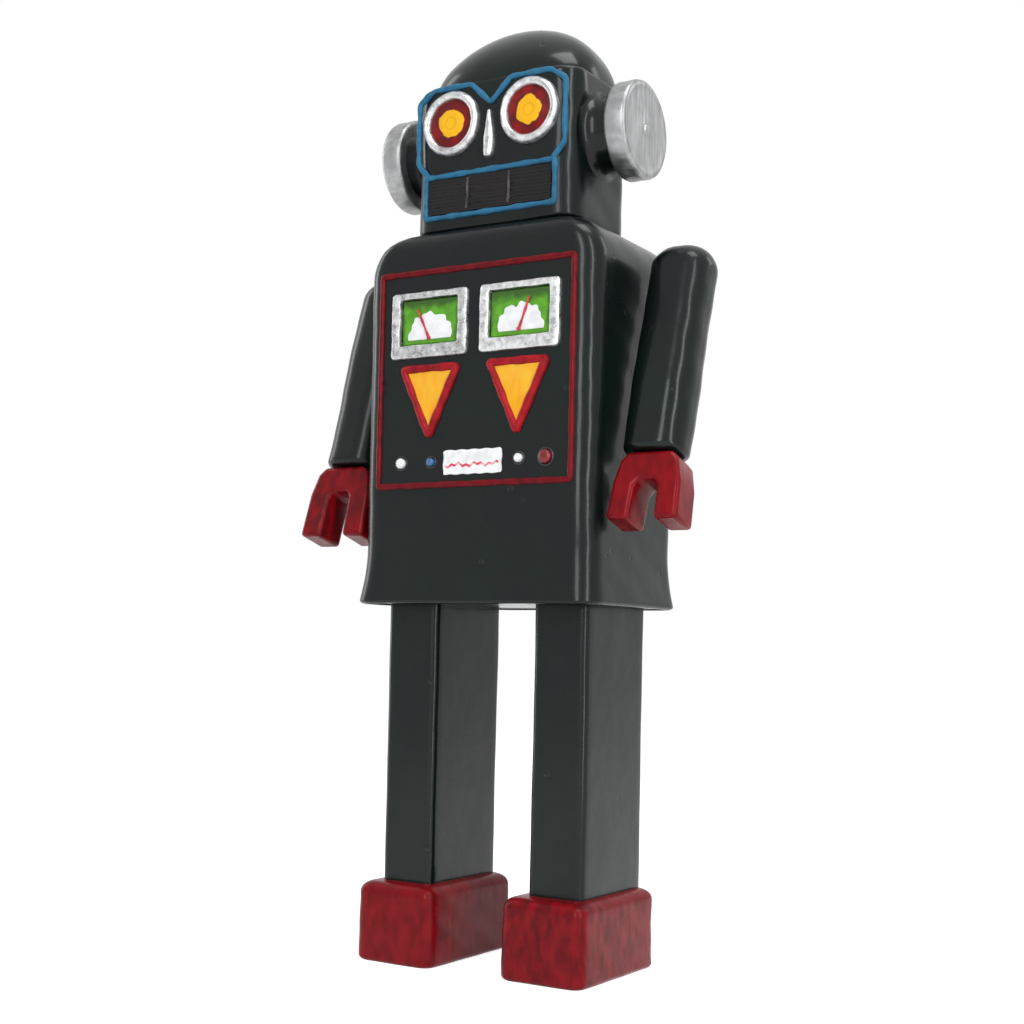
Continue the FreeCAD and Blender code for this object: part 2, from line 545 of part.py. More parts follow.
def build_head():
    face = "head_y - head_depth / 2"
    outer = block("head_outer", "head_width", "head_depth", "head_high - head_low",
                  (0, "head_y", "head_low"), sides="head_corner")
    hollow = block("head_hollow", "head_width - 2 * head_wall", "head_depth - 2 * head_wall",
                   "head_high - head_low - 2 * head_wall", (0, "head_y", "head_low + head_wall"),
                   sides="head_corner - head_wall")
    bosses = [rod(f"ear_boss_{i}", "x", "ear_boss_radius",
                  span(side, "head_width / 2 - head_wall / 2", "ear_face - ear_thick"),
                  ("ear_y", "ear_level")) for i, side in enumerate(SIDES.values())]
    bore = rod("head_bore", "z", "neck_radius + 0.1", ("head_low - 1", "head_low + head_wall + 1"),
               (0, "neck_y"))
    node(cut("head_shell", fuse("head_with_bosses", outer, *bosses), hollow, bore))
    dome = doc.addObject("Part::Ellipsoid", "dome_form")
    bind(dome, Radius1="dome_rise", Radius2="head_width / 2 - 0.3", Radius3="head_depth / 2 - 0.3")
    dome.Angle1 = 0
    node(place(dome, 0, "head_y", "head_high"))
    dome.Label = "head_dome"
    for name, side in SIDES.items():
        across = ("ear_y", "ear_level")
        node(fuse(f"ear_disc_{name}",
                  rod(f"ear_drum_{name}", "x", "ear_radius",
                      span(side, "ear_face - ear_thick", "ear_face"), across),
                  rod(f"ear_pip_{name}", "x", "ear_pip",
                      span(side, "ear_face - 1", "ear_face + ear_pip_raise"), across)))
    build_face(face)


def build_face(face):
    brow = [("0", "notch_low"), ("notch_half", "brow_top"), ("brow_step", "brow_top"),
            ("brow_half", "brow_side"), ("brow_half", "cheek_level"),
            ("cheek_half", "mouth_high - trim_line")]
    mirrored = [(f"-{across}", up) for across, up in reversed(brow[1:])]
    goggles = inset("goggle_ring", front_outline("goggle_outline", brow + mirrored), "trim_line", True)
    mouth_box = [("-mouth_half", "mouth_low"), ("mouth_half", "mouth_low"),
                 ("mouth_half", "mouth_high"), ("-mouth_half", "mouth_high")]
    mouth = inset("mouth_ring", front_outline("mouth_outline", mouth_box), "trim_line", True)
    node(fuse("face_trim", raise_front("goggle_trim", goggles, face, "trim_raise"),
              raise_front("mouth_trim", mouth, face, "trim_raise")))
    wide, low, high = "mouth_half - trim_line", "mouth_low + trim_line", "mouth_high - trim_line"
    grille = [box("grille_plate", (f"-({wide})", wide), (f"{face} - grille_raise", face), (low, high))]
    for i in range(int(SIZES["grille_ribs"])):
        level = f"{low} + ({high} - ({low})) * {i + 0.5} / grille_ribs"
        grille.append(box(f"grille_rib_{i}", (f"-({wide})", wide),
                          (f"{face} - grille_raise - 0.25", f"{face} - 0.1"),
                          (f"{level} - grille_rib / 2", f"{level} + grille_rib / 2")))
    for i, side in enumerate(SIDES.values()):
        across = f"{side} * ({wide}) / 3"
        grille.append(box(f"grille_bar_{i}", (f"{across} - grille_rib", f"{across} + grille_rib"),
                          (f"{face} - grille_raise - 0.35", f"{face} - 0.1"), (low, high)))
    node(fuse("mouth_grille", *grille))
    nose = [("0", "nose_top"), ("-nose_half", "nose_low + (nose_top - nose_low) / 2"),
            ("-nose_half", "nose_low"), ("nose_half", "nose_low"),
            ("nose_half", "nose_low + (nose_top - nose_low) / 2")]
    node(raise_front("nose", front_outline("nose_outline", nose), face, "nose_raise"))
    for name, side in SIDES.items():
        across = (f"{side} * eye_centre", "eye_level")
        ring = rod(f"eye_blank_{name}", "y", "eye_radius", (f"{face} - eye_raise", face), across)
        hole = rod(f"eye_hole_{name}", "y", "iris_radius", (f"{face} - eye_raise - 1", f"{face} + 1"), across)
        node(cut(f"eye_ring_{name}", ring, hole))
        node(rod(f"eye_lens_{name}", "y", "iris_radius - 0.1", (f"{face} - iris_raise", face), across))


# ---------------------------------------------------------------- arms and hands
def build_arm(name, side):
    """The arm, its lever and its hand, drawn upright about the shoulder pivot and then tilted."""
    middle = f"{side} * arm_centre"
    form = block(f"arm_form_{name}", "arm_width", "arm_depth", "arm_above + arm_below",
                 (middle, 0, "-arm_below"), sides="arm_corner", top="arm_crown", bottom="arm_rim")
    inner = "arm_centre - arm_width / 2"
    spigot = rod(f"arm_spigot_{name}", "x", "spigot_radius",
                 span(side, "arm_lever_inner", f"{inner} + 2"), (0, 0))
    collar = rod(f"arm_collar_{name}", "x", "collar_radius",
                 span(side, "torso_width / 2 + side_gap", f"{inner} + 2"), (0, 0))
    socket = rod(f"wrist_socket_{name}", "z", "wrist_radius + wrist_gap",
                 ("-arm_below - 1", "-arm_below + wrist_length + 0.3"), (f"{side} * hand_centre", 0))
    arm = cut(f"arm_{name}", fuse(f"arm_solid_{name}", form, spigot, collar), socket)
    pose_arm(arm)

    lever_outer = "arm_lever_inner + arm_lever_thick"
    bar = box(f"arm_bar_{name}", span(side, "arm_lever_inner", lever_outer),
              ("-arm_lever_half", "arm_lever_half"), ("-arm_lever_drop", "0"))
    foot = rod(f"arm_bar_end_{name}", "x", "arm_lever_half", span(side, "arm_lever_inner", lever_outer),
               (0, "-arm_lever_drop"))
    hub = rod(f"arm_hub_{name}", "x", "arm_lever_hub",
              span(side, "arm_lever_inner", "torso_width / 2 - case_wall - side_gap"), (0, 0))
    pin = rod(f"arm_pin_{name}", "x", "pin_radius",
              span(side, "lever_inner - side_gap", "arm_lever_inner + 1"), (0, "-arm_lever_drop"))
    bore = rod(f"arm_hub_bore_{name}", "x", "spigot_radius + 0.03", span(side, "0", "torso_width"), (0, 0))
    lever = cut(f"shoulder_lever_{name}", fuse(f"shoulder_lever_solid_{name}", bar, foot, hub, pin), bore)
    node(place(lever, 0, "drive_y", "shoulder_level"))

    low = "-arm_below - side_gap - hand_height"
    palm = block(f"hand_form_{name}", "hand_width", "hand_depth", "hand_height",
                 (f"{side} * hand_centre", 0, low), sides="hand_corner", top="hand_top", bottom="hand_tip")
    slot = box(f"hand_slot_{name}",
               (f"{side} * hand_centre - hand_slot / 2", f"{side} * hand_centre + hand_slot / 2"),
               ("-hand_depth", "hand_depth"), (f"{low} - 1", f"{low} + hand_slot_height"))
    wrist = rod(f"wrist_pin_{name}", "z", "wrist_radius",
                ("-arm_below - side_gap - 2", "-arm_below + wrist_length"), (f"{side} * hand_centre", 0))
    pose_arm(fuse(f"hand_{name}", cut(f"hand_claw_{name}", palm, slot), wrist))


def pose_arm(item):
    turn(item, FreeCAD.Vector(1, 0, 0), "arm_tilt")
    node(place(item, 0, "drive_y", "shoulder_level"))


# ---------------------------------------------------------------- legs and feet
def build_leg(name, side):
    """A hollow leg with the hub and the lever that swing it, its foot, and the foot's roller."""
    middle = f"{side} * leg_centre"
    form = block(f"leg_form_{name}", "leg_width", "leg_depth", "leg_top - foot_height",
                 (middle, "leg_y", "foot_height"), sides="leg_corner")
    hollow = block(f"leg_hollow_{name}", "leg_width - 2 * leg_wall", "leg_depth - 2 * leg_wall",
                   "leg_top - foot_height - leg_wall + 1", (middle, "leg_y", "foot_height - 1"))
    hub = rod(f"hip_hub_{name}", "x", "hub_radius",
              span(side, "leg_centre - leg_width / 2 + 1.5", "leg_centre + leg_width / 2 - 1.5"),
              ("drive_y", "hip_level"))
    plate = span(side, "lever_inner", "lever_inner + lever_thick")
    lever = box(f"leg_bar_{name}", plate, ("drive_y - lever_half", "drive_y + lever_half"),
                ("leg_top - leg_wall / 2", "lever_top"))
    shell = cut(f"leg_shell_{name}", form, hollow)
    through = span(side, "lever_inner - 1", "lever_inner + lever_thick + 1")
    reach = "crank_throw + pin_radius + pin_clearance + 0.5"
    gap = ("drive_y - pin_radius - pin_clearance", "drive_y + pin_radius + pin_clearance")
    crank_slot = box(f"crank_slot_{name}", through, gap, (f"crank_level - ({reach})", f"crank_level + {reach}"))
    fork = box(f"fork_{name}", through, gap, ("fork_low", "lever_top + 1"))
    bore = rod(f"hip_bore_{name}", "x", "hip_radius + shaft_gap", span(side, 0, "torso_width"),
               ("drive_y", "hip_level"))
    node(cut(f"leg_{name}", fuse(f"leg_solid_{name}", shell, hub, lever), crank_slot, fork, bore))

    foot_at = (f"{side} * foot_centre", "foot_y", 0)
    last = block(f"foot_form_{name}", "foot_width", "foot_depth", "foot_height", foot_at,
                 sides="foot_corner", top="foot_top", bottom="foot_sole")
    key = block(f"foot_key_{name}", "leg_width - 2 * leg_wall - 2 * seat_gap",
                "leg_depth - 2 * leg_wall - 2 * seat_gap", "foot_key + 1",
                (middle, "leg_y", "foot_height - 1"))
    half = "roller_width / 2 + roller_gap / 2"
    pocket = box(f"roller_pocket_{name}", (f"{foot_at[0]} - ({half})", f"{foot_at[0]} + {half}"),
                 ("roller_y - roller_radius - roller_gap", "roller_y + roller_radius + roller_gap"),
                 ("-1", "2 * roller_radius + roller_gap"))
    reach = "roller_width / 2 + axle_reach"
    bore = rod(f"roller_bore_{name}", "x", "axle_radius + axle_gap",
               (f"{foot_at[0]} - ({reach}) - 0.2", f"{foot_at[0]} + {reach} + 0.2"),
               ("roller_y", "roller_radius"))
    node(cut(f"foot_{name}", fuse(f"foot_solid_{name}", last, key), pocket, bore))
    wheel = rod(f"roller_wheel_{name}", "x", "roller_radius",
                (f"{foot_at[0]} - roller_width / 2", f"{foot_at[0]} + roller_width / 2"),
                ("roller_y", "roller_radius"))
    axle = rod(f"roller_axle_{name}", "x", "axle_radius",
               (f"{foot_at[0]} - ({reach})", f"{foot_at[0]} + {reach}"), ("roller_y", "roller_radius"))
    node(fuse(f"foot_roller_{name}", wheel, axle))


# ---------------------------------------------------------------- gears, gearbox and motor
def involute(angle):
    return math.tan(angle) - angle


def gear(name, teeth, module, phase, start, width, centre):
    """A spur gear along X with involute flanks; phase is the angle of one tooth's middle."""
    pressure = math.radians(20)
    pitch = teeth * module / 2
    base = pitch * math.cos(pressure)
    root, tip = pitch - 1.25 * module, pitch + module
    half_pitch = math.pi / (2 * teeth) - SIZES["backlash"] / (4 * pitch)

    def half_width(radius):
        if radius <= base:
            return half_pitch + involute(pressure)
        return half_pitch + involute(pressure) - involute(math.acos(base / radius))

    steps = 5
    radii = [root] + [max(root, base) + (tip - max(root, base)) * i / steps for i in range(steps + 1)]
    points = []
    for tooth in range(teeth):
        middle = math.radians(phase) + 2 * math.pi * tooth / teeth
        flank = [(radius, middle - half_width(radius)) for radius in radii]
        flank += [(radius, middle + half_width(radius)) for radius in reversed(radii)]
        points += [FreeCAD.Vector(0, radius * math.cos(turned), radius * math.sin(turned))
                   for radius, turned in flank]
    outline = Part.makePolygon(points + points[:1])
    item = doc.addObject("Part::Feature", name)
    item.Shape = Part.Face(outline).extrude(FreeCAD.Vector(width, 0, 0))
    item.Placement = FreeCAD.Placement(FreeCAD.Vector(start, *centre), FreeCAD.Rotation())
    return item


def build_drive():
    """The gear train, meshed at rest, between the two plates of the gearbox frame."""
    size = SIZES
    lay_angle = math.radians(size["lay_angle"])
    first = size["crank_module"] * (size["crank_teeth"] + size["lay_pinion_teeth"]) / 2
    second = size["motor_module"] * (size["lay_teeth"] + size["motor_teeth"]) / 2
    crank = (size["drive_y"], size["crank_level"])
    lay = (crank[0] + first * math.cos(lay_angle), crank[1] + first * math.sin(lay_angle))
    motor = (lay[0], lay[1] - second)
    wall = "frame_inner + frame_thick"
    outside = size["frame_inner"] + size["frame_thick"]
    width = size["gear_width"]

    crank_gear = gear("crank_teeth_form", int(size["crank_teeth"]), size["crank_module"],
                      size["lay_angle"], -2 * width, width, crank)
    shaft = rod("crank_rod", "x", "crank_radius", ("-crank_disc_outer", "crank_disc_outer"),
                ("drive_y", "crank_level"))
    pieces = [crank_gear, shaft]
    for i, side in enumerate(SIDES.values()):
        pieces.append(rod(f"crank_disc_{i}", "x", "crank_disc",
                          span(side, "crank_disc_inner", "crank_disc_outer"), ("drive_y", "crank_level")))
        pieces.append(rod(f"crank_pin_{i}", "x", "pin_radius",
                          span(side, "crank_disc_outer - 1", "lever_inner + lever_thick + side_gap"),
                          ("drive_y", f"crank_level + {side} * crank_throw")))
    node(fuse("crank_shaft", *pieces))

    lay_pinion = gear("lay_pinion_form", int(size["lay_pinion_teeth"]), size["crank_module"],
                      size["lay_angle"] + 180 + 180 / size["lay_pinion_teeth"],
                      -2 * width - 0.5, width + 1, lay)
    lay_gear = gear("lay_gear_form", int(size["lay_teeth"]), size["motor_module"], -90,
                    -outside - 1 - width / 2, width / 2, lay)
    lay_rod = rod("lay_rod", "x", "lay_radius",
                  (f"-({wall}) - 1.5 - gear_width / 2", f"{wall} + 1"), lay)
    node(fuse("layshaft", lay_pinion, lay_gear, lay_rod))

    motor_gear = gear("motor_pinion_form", int(size["motor_teeth"]), size["motor_module"],
                      90 + 180 / size["motor_teeth"], -outside - 1.5 - width / 2, width / 2 + 1, motor)
    motor_rod = rod("motor_rod", "x", "motor_shaft", (f"-({wall}) - 1.5 - gear_width / 2", "-frame_inner + 6"),
                    motor)
    node(fuse("motor_pinion", motor_gear, motor_rod))

    can_end = "motor_length - frame_inner"
    can = common("motor_can_form",
                 rod("motor_can_round", "x", "motor_radius", ("-frame_inner", can_end), motor),
                 box("motor_can_flats", ("-frame_inner", can_end),
                     (f"{motor[0]} - motor_radius", f"{motor[0]} + motor_radius"),
                     (f"{motor[1]} - motor_flat / 2", f"{motor[1]} + motor_flat / 2")))
    boss = rod("motor_boss_form", "x", "motor_boss", (f"-({wall})", "-frame_inner + 1"), motor)
    bore = rod("motor_bore", "x", "motor_shaft + shaft_gap", (f"-({wall}) - 1", "-frame_inner + 6.3"), motor)
    node(cut("motor", fuse("motor_solid", can, boss), bore))
    build_frame(lay, motor)


def build_frame(lay, motor):
    """Two side plates, joined by cross bars, that stand on the base plate."""
    low = "torso_bottom + base_recess + base_thick"
    parts = []
    for i, side in enumerate(SIDES.values()):
        plate = span(side, "frame_inner", "frame_inner + frame_thick")
        parts.append(box(f"frame_low_{i}", plate, ("frame_front", "frame_back"), (low, "frame_low_front")))
        parts.append(box(f"frame_high_{i}", plate, ("frame_high_front", "frame_back"), (low, "frame_high")))
    wide = ("-frame_inner - 1", "frame_inner + 1")
    for i, (depth, level) in enumerate([("frame_front", low), ("frame_back - frame_bar", low),
                                        ("frame_back - frame_bar", "frame_high - frame_bar")]):
        parts.append(box(f"frame_bar_{i}", wide, (depth, f"{depth} + frame_bar"),
                         (level, f"{level} + frame_bar")))
    through = ("-frame_inner - frame_thick - 1", "frame_inner + frame_thick + 1")
    holes = [rod("frame_crank_bore", "x", "crank_radius + shaft_gap", through, ("drive_y", "crank_level")),
             rod("frame_hip_bore", "x", "hip_radius + 0.03", through, ("drive_y", "hip_level")),
             rod("frame_lay_bore", "x", "lay_radius + shaft_gap", through, lay),
             rod("frame_motor_bore", "x", "motor_boss + 0.05", ("-frame_inner - frame_thick - 1", "0"), motor)]
    node(cut("gearbox_frame", fuse("frame_solid", *parts), *holes))


# ---------------------------------------------------------------- build, check and write
def check_document():
    doc.recompute()
    failed = [item.Name for item in doc.Objects
              if "Invalid" in item.State or "Error" in item.State]
    for item in nodes:
        if item.Shape.isNull() or not item.Shape.isValid() or not item.Shape.Solids:
            failed.append(item.Label)
    if failed:
        raise RuntimeError("these objects failed: " + ", ".join(failed))


def main():
    build_case()
    build_base()
    build_chest()
    build_buttons()
    build_battery()
    build_power_switch()
    build_neck()
    build_head()
    for name, side in SIDES.items():
        build_arm(name, side)
        build_leg(name, side)
    build_drive()
    check_document()
    os.makedirs("parts", exist_ok=True)
    for item in nodes:
        item.Shape.exportStep(f"parts/{item.Label}.step")
    print(len(nodes), "nodes written")


main()
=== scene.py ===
"""Looks of the walking robot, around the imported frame: case, limbs, dome, face, chest instruments and studio."""
import json
import math

import bmesh
import bpy
import numpy as np
from bpy.props import FloatProperty, FloatVectorProperty, PointerProperty
from mathutils import Matrix, Vector


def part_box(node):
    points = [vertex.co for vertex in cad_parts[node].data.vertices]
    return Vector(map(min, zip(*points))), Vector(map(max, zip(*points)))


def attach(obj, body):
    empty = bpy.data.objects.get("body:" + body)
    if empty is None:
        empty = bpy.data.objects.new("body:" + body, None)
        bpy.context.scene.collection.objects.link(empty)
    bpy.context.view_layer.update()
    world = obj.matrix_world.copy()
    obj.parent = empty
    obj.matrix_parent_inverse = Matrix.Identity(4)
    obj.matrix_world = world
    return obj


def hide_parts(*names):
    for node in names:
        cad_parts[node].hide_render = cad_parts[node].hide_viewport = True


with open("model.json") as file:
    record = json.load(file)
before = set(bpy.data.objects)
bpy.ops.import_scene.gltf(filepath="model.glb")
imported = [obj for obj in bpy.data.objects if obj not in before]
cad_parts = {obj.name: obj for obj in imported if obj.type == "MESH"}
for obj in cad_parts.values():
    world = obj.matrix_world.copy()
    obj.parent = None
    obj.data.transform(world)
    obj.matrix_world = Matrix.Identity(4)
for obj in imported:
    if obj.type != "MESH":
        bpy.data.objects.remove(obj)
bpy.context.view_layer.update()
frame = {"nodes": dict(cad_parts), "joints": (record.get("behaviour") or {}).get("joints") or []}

bl_info = {
    "name": "Walking Robot Looks",
    "version": (1, 0, 0),
    "blender": (4, 5, 0),
    "location": "View3D > Sidebar > Robot",
    "description": "Builds the enamel skins, painted face, chest instruments and studio of a walking robot toy",
    "category": "Object",
}

SIDES = {"left": 1.0, "right": -1.0}
MM = 0.001
SUNK = -0.3 * MM  # how far a raised piece reaches in behind the face it stands on
PATH_STEP = 0.5 * MM  # spacing of the points along a raised line


def paint(red, green, blue):
    """A colour from a paint card of 0 to 255 into linear light: above 10 of 255 by the 2.4 power law."""
    card = np.array([red, green, blue]) / 255
    return tuple(np.where(card <= 0.04045, card / 12.92, ((card + 0.055) / 1.055) ** 2.4))


def tinted(tone, share):
    """A colour with each channel times a share."""
    return tuple(channel * share for channel in tone)


def length(name, default, description):
    return FloatProperty(name=name, description=description, default=default * MM, unit="LENGTH",
                         subtype="DISTANCE", precision=4)


def colour(name, default, description):
    return FloatVectorProperty(name=name, description=description, default=paint(*default), size=3,
                               min=0.0, max=1.0, subtype="COLOR")


# ------------------------------------------------------------------ sizes and colours
class CaseSizes(bpy.types.PropertyGroup):
    wall: length("Wall", 2.2, "Thickness of the case skin")
    corner: length("Corner", 7.0, "Radius of the case's upright corners")
    shoulder: length("Shoulder", 14.0, "Radius over the case's side top edges")
    brow: length("Top edge", 6.5, "Radius over the case's front and back top edges")
    flare: length("Skirt flare", 1.6, "How far the skirt spreads at its foot")
    skirt: length("Skirt height", 15.0, "Height over which the skirt spreads")
    lip: length("Lip", 1.3, "Radius of the skirt's rolled lip")
    screw_across: length("Screw distance", 37.0, "How far the case screws are from the middle")
    screw_low: length("Low screws", 135.0, "Level of the two low case screws")
    screw_high: length("High screws", 174.0, "Level of the two high case screws")
    screw_bore: length("Screw bore", 2.4, "Radius of the holes over the case screws")
    waver: length("Waver", 0.15, "How far the cast skin waves in and out")


class HeadSizes(bpy.types.PropertyGroup):
    corner: length("Head corner", 8.0, "Radius of the head's upright corners")
    edge: length("Head edge", 1.6, "Radius round the head's foot and under the dome")
    line: length("Blue line", 1.75, "Width of the raised blue line of the face")
    line_raise: length("Blue line height", 0.9, "How proud the blue line stands")


class LimbSizes(bpy.types.PropertyGroup):
    tilt: FloatProperty(name="Arm tilt", description="Lean of the arms at rest, lower end forward",
                        default=math.radians(-16.5), subtype="ANGLE", unit="ROTATION")
    arm_width: length("Arm width", 20.0, "Width of an arm across the robot")
    arm_depth: length("Arm depth", 17.0, "Depth of an arm at its ends")
    arm_belly: length("Arm belly", 0.25, "How far the arm swells at a sixth of its length below the shoulder")
    arm_corner: length("Arm corner", 7.5, "Radius of the arms' long edges")
    arm_top: length("Arm top", 11.5, "How far the arm rises over its shoulder pivot")
    arm_foot: length("Arm foot", 58.0, "How far the arm reaches below its shoulder pivot")
    arm_crown: length("Arm crown", 7.6, "Radius over the top of the arm")
    arm_hem: length("Arm hem", 2.0, "Radius round the foot of the arm")
    hand_depth: length("Hand depth", 12.0, "Thickness of the hands")
    leg_top: length("Leg top", 117.4, "Level where the leg skins end, inside the case")
    leg_corner: length("Leg corner", 2.5, "Radius of the legs' upright edges")
    foot_corner: length("Foot corner", 3.4, "Radius of the feet's upright edges")
    foot_top: length("Foot top", 3.5, "Radius over the feet's top edges")
    sole: length("Sole", 1.6, "Radius under the feet")
    facet: length("Hand facet", 1.7, "Width of the bevels on the hands")


class PaintColours(bpy.types.PropertyGroup):
    case: colour("Case", (12, 24, 20), "Green-black enamel of the case and limbs")
    case_shade: colour("Case shade", (12, 15, 17), "Colour the enamel drifts to in patches")
    red: colour("Red", (128, 12, 20), "Red of the hands and feet")
    red_shade: colour("Red shade", (70, 8, 15), "Colour the red drifts to in strokes")
    blue: colour("Blue", (48, 108, 142), "Line round the face")
    yellow: colour("Yellow", (232, 174, 26), "Eye centres and chest lenses")
    dial: colour("Dial", (88, 160, 30), "Green of the gauges")
    white: colour("White", (232, 234, 236), "White buttons, scales and chart")
    metal: colour("Silver", (218, 219, 220), "Silver of the ears, eye rings and bezels")


class StudioSettings(bpy.types.PropertyGroup):
    camera: FloatVectorProperty(name="Camera", description="Place of the camera",
                                default=(0.2643, -0.4420, 0.0984), size=3, subtype="XYZ_LENGTH", unit="LENGTH")
    azimuth: FloatProperty(name="Azimuth", description="How far round the camera stands to the robot's left",
                           default=math.radians(31.65), subtype="ANGLE", unit="ROTATION")
    pitch: FloatProperty(name="Pitch", description="How far the camera looks up", default=math.radians(2.36),
                         subtype="ANGLE", unit="ROTATION")
    roll: FloatProperty(name="Roll", description="Turn of the camera about its view line",
                        default=math.radians(1.28), subtype="ANGLE", unit="ROTATION")
    shift: FloatVectorProperty(name="Shift", description="Shift of the picture", default=(0.0160, 0.0723), size=2)
    lens: FloatProperty(name="Lens", description="Focal length", default=56.36, unit="CAMERA", min=10)
    key: FloatProperty(name="Key lamp", description="Power of the key lamp", default=9.0, unit="POWER", min=0)
    room: FloatProperty(name="Room light", description="Strength of the room's even light", default=0.3, min=0)


# ------------------------------------------------------------------ surfaces
def plan_pattern(corner_steps, side_steps):
    """Signs and arc directions of a rounded rectangle.

    A point is sign times half size less corner, plus corner times direction.
    """
    signs, directions = [], []
    for quarter in range(4):
        turn = np.radians(90 * quarter + np.linspace(0, 90, corner_steps))
        middle = math.radians(90 * quarter + 45)
        here = np.sign([math.cos(middle), math.sin(middle)])
        there = np.array([-here[1], here[0]])
        along = np.linspace(0, 1, side_steps + 2)[1:-1, None]
        signs += [np.tile(here, (corner_steps, 1)), here + (there - here) * along]
        directions += [np.stack([np.cos(turn), np.sin(turn)], -1),
                       np.tile([math.cos(turn[-1]), math.sin(turn[-1])], (side_steps, 1))]
    return np.concatenate(signs), np.concatenate(directions)


def rings_of(half_x, half_y, corner, level, centre=(0.0, 0.0), steps=(9, 24)):
    """Level rings of rounded rectangles, one for each half width, half depth, corner and level."""
    signs, directions = plan_pattern(*steps)
    half_x, half_y, corner, level = np.broadcast_arrays(*np.atleast_1d(half_x, half_y, corner, level))
    half = np.stack([half_x, half_y], -1)[:, None]
    corner = np.minimum(corner, half.min(axis=(1, 2)) * 0.999)[:, None, None]
    plan = signs * (half - corner) + corner * directions + np.asarray(centre)[..., :]
    return np.concatenate([plan, np.broadcast_to(level[:, None, None], plan.shape[:2] + (1,))], -1)


def skin(rings, closed=False, caps=(True, True)):
    """Quads between neighbouring rings, with a flat cap over each end ring if the skin isn't closed on itself."""
    count, around = rings.shape[:2]
    index = np.arange(count * around).reshape(count, around)
    low, high = (index, np.roll(index, -1, 0)) if closed else (index[:-1], index[1:])
    faces = np.stack([low, np.roll(low, -1, 1), np.roll(high, -1, 1), high], -1).reshape(-1, 4).tolist()
    if not closed:
        faces += [ring.tolist() for ring, wanted in zip((index[0, ::-1], index[-1]), caps) if wanted]
    return rings.reshape(-1, 3), faces


def rounded_ends(low, high, low_round, high_round, middle, steps=7):
    """Levels from low to high and how far each is drawn in: quarter circles at the ends, even steps between."""
    turn = np.radians(np.linspace(0, 90, steps))
    foot, crown = low + low_round * (1 - np.cos(turn)), high - high_round * (1 - np.sin(turn))
    between = np.linspace(foot[-1], crown[0], middle + 2)[1:-1]
    level = np.concatenate([foot, between, crown])
    inset = np.concatenate([low_round * (1 - np.sin(turn)), np.zeros(middle), high_round * (1 - np.cos(turn))])
    return level, inset


def uneven(points, amount, size=26 * MM, phase=0.0):
    """Waves a surface as hand-finished casting does: slanted sines of the place, added on each axis."""
    slants = np.array([[1.0, 0.31, 0.57], [0.42, 1.0, 0.73], [0.66, 0.21, 1.0], [1.9, 1.3, 2.2]])
    waves = slants * (2 * math.pi / size)
    first, second, third, fourth = np.sin(points @ waves.T + phase + np.array([0.3, 1.9, 4.1, 2.6])).T
    shift = np.stack([first + 0.5 * fourth, second, 0.6 * third], -1)
    return points + amount * shift / 1.5


def revolved(profile, centre, axis="y", steps=72, lumps=0.0, phase=0.0):
    """Rings of a profile of radius and outward pairs turned about an axis; lumps vary the radius round it."""
    profile = np.asarray(profile, float)
    turn = np.linspace(0, 2 * math.pi, steps, endpoint=False)
    bumps = np.sin(3 * turn + phase) + 0.7 * np.sin(7 * turn + 2 * phase) + 0.4 * np.sin(17 * turn)
    vary = 1 + lumps * bumps / 2
    round_, out = profile[:, :1] * vary, np.repeat(profile[:, 1:], steps, 1)
    cosine, sine = round_ * np.cos(turn), round_ * np.sin(turn)
    parts = {"y": (cosine, -out, sine), "x": (out, cosine, sine), "-x": (-out, cosine, sine)}[axis]
    return np.stack(parts, -1) + np.asarray(centre)


def softened(corners, closed, reach=3):
    """A path through corner points at even steps, its corners eased by a running mean of reach steps each way."""
    corners = np.asarray(corners, float)
    if closed:
        corners = np.vstack([corners, corners[:1]])
    run = np.concatenate([[0], np.cumsum(np.linalg.norm(np.diff(corners, axis=0), axis=1))])
    even = np.linspace(0, run[-1], int(run[-1] / PATH_STEP), endpoint=not closed)
    path = np.stack([np.interp(even, run, corners[:, axis]) for axis in (0, 1)], -1)
    window = np.ones(2 * reach + 1) / (2 * reach + 1)
    padded = np.pad(path, ((reach, reach), (0, 0)), mode="wrap" if closed else "edge")
    return np.stack([np.convolve(padded[:, axis], window, "valid") for axis in (0, 1)], -1)


def bead(corners, plane, width, proud, closed=True, wobble=0.1, phase=0.0, reach=3):
    """Rings of a raised line on an upright plane: a flattened half round carried along a path.

    Its width and height vary by two sines of the way along, whole waves of them where the line closes.
    """
    path = softened(corners, closed, reach=reach)
    ahead, behind = np.roll(path, -1, 0), np.roll(path, 1, 0)
    if not closed:
        ahead[-1], behind[0] = path[-1], path[0]
    tangent = ahead - behind
    tangent /= np.linalg.norm(tangent, axis=1, keepdims=True)
    across = np.stack([-tangent[:, 1], tangent[:, 0]], -1)
    count = np.arange(len(path))
    slow = count / len(path) * 2 * math.pi * round(len(path) / 24) if closed else 0.26 * count
    quick = 2 * slow if closed else 0.565 * count
    vary = (1 + wobble * (np.sin(slow + phase) + 0.6 * np.sin(quick + 2 * phase)))[:, None]
    turn = np.radians(np.linspace(0, 180, 11))
    side = np.concatenate([np.cos(turn), [-1.0, 1.0]]) * width / 2
    out = np.concatenate([np.sin(turn) ** 0.75 * proud, [SUNK, SUNK]])
    flat = path[:, None] + across[:, None] * (side * vary)[..., None]
    height = plane - out[None] * (1 + (vary - 1) * 0.8)
    return np.stack([flat[..., 0], height, flat[..., 1]], -1)


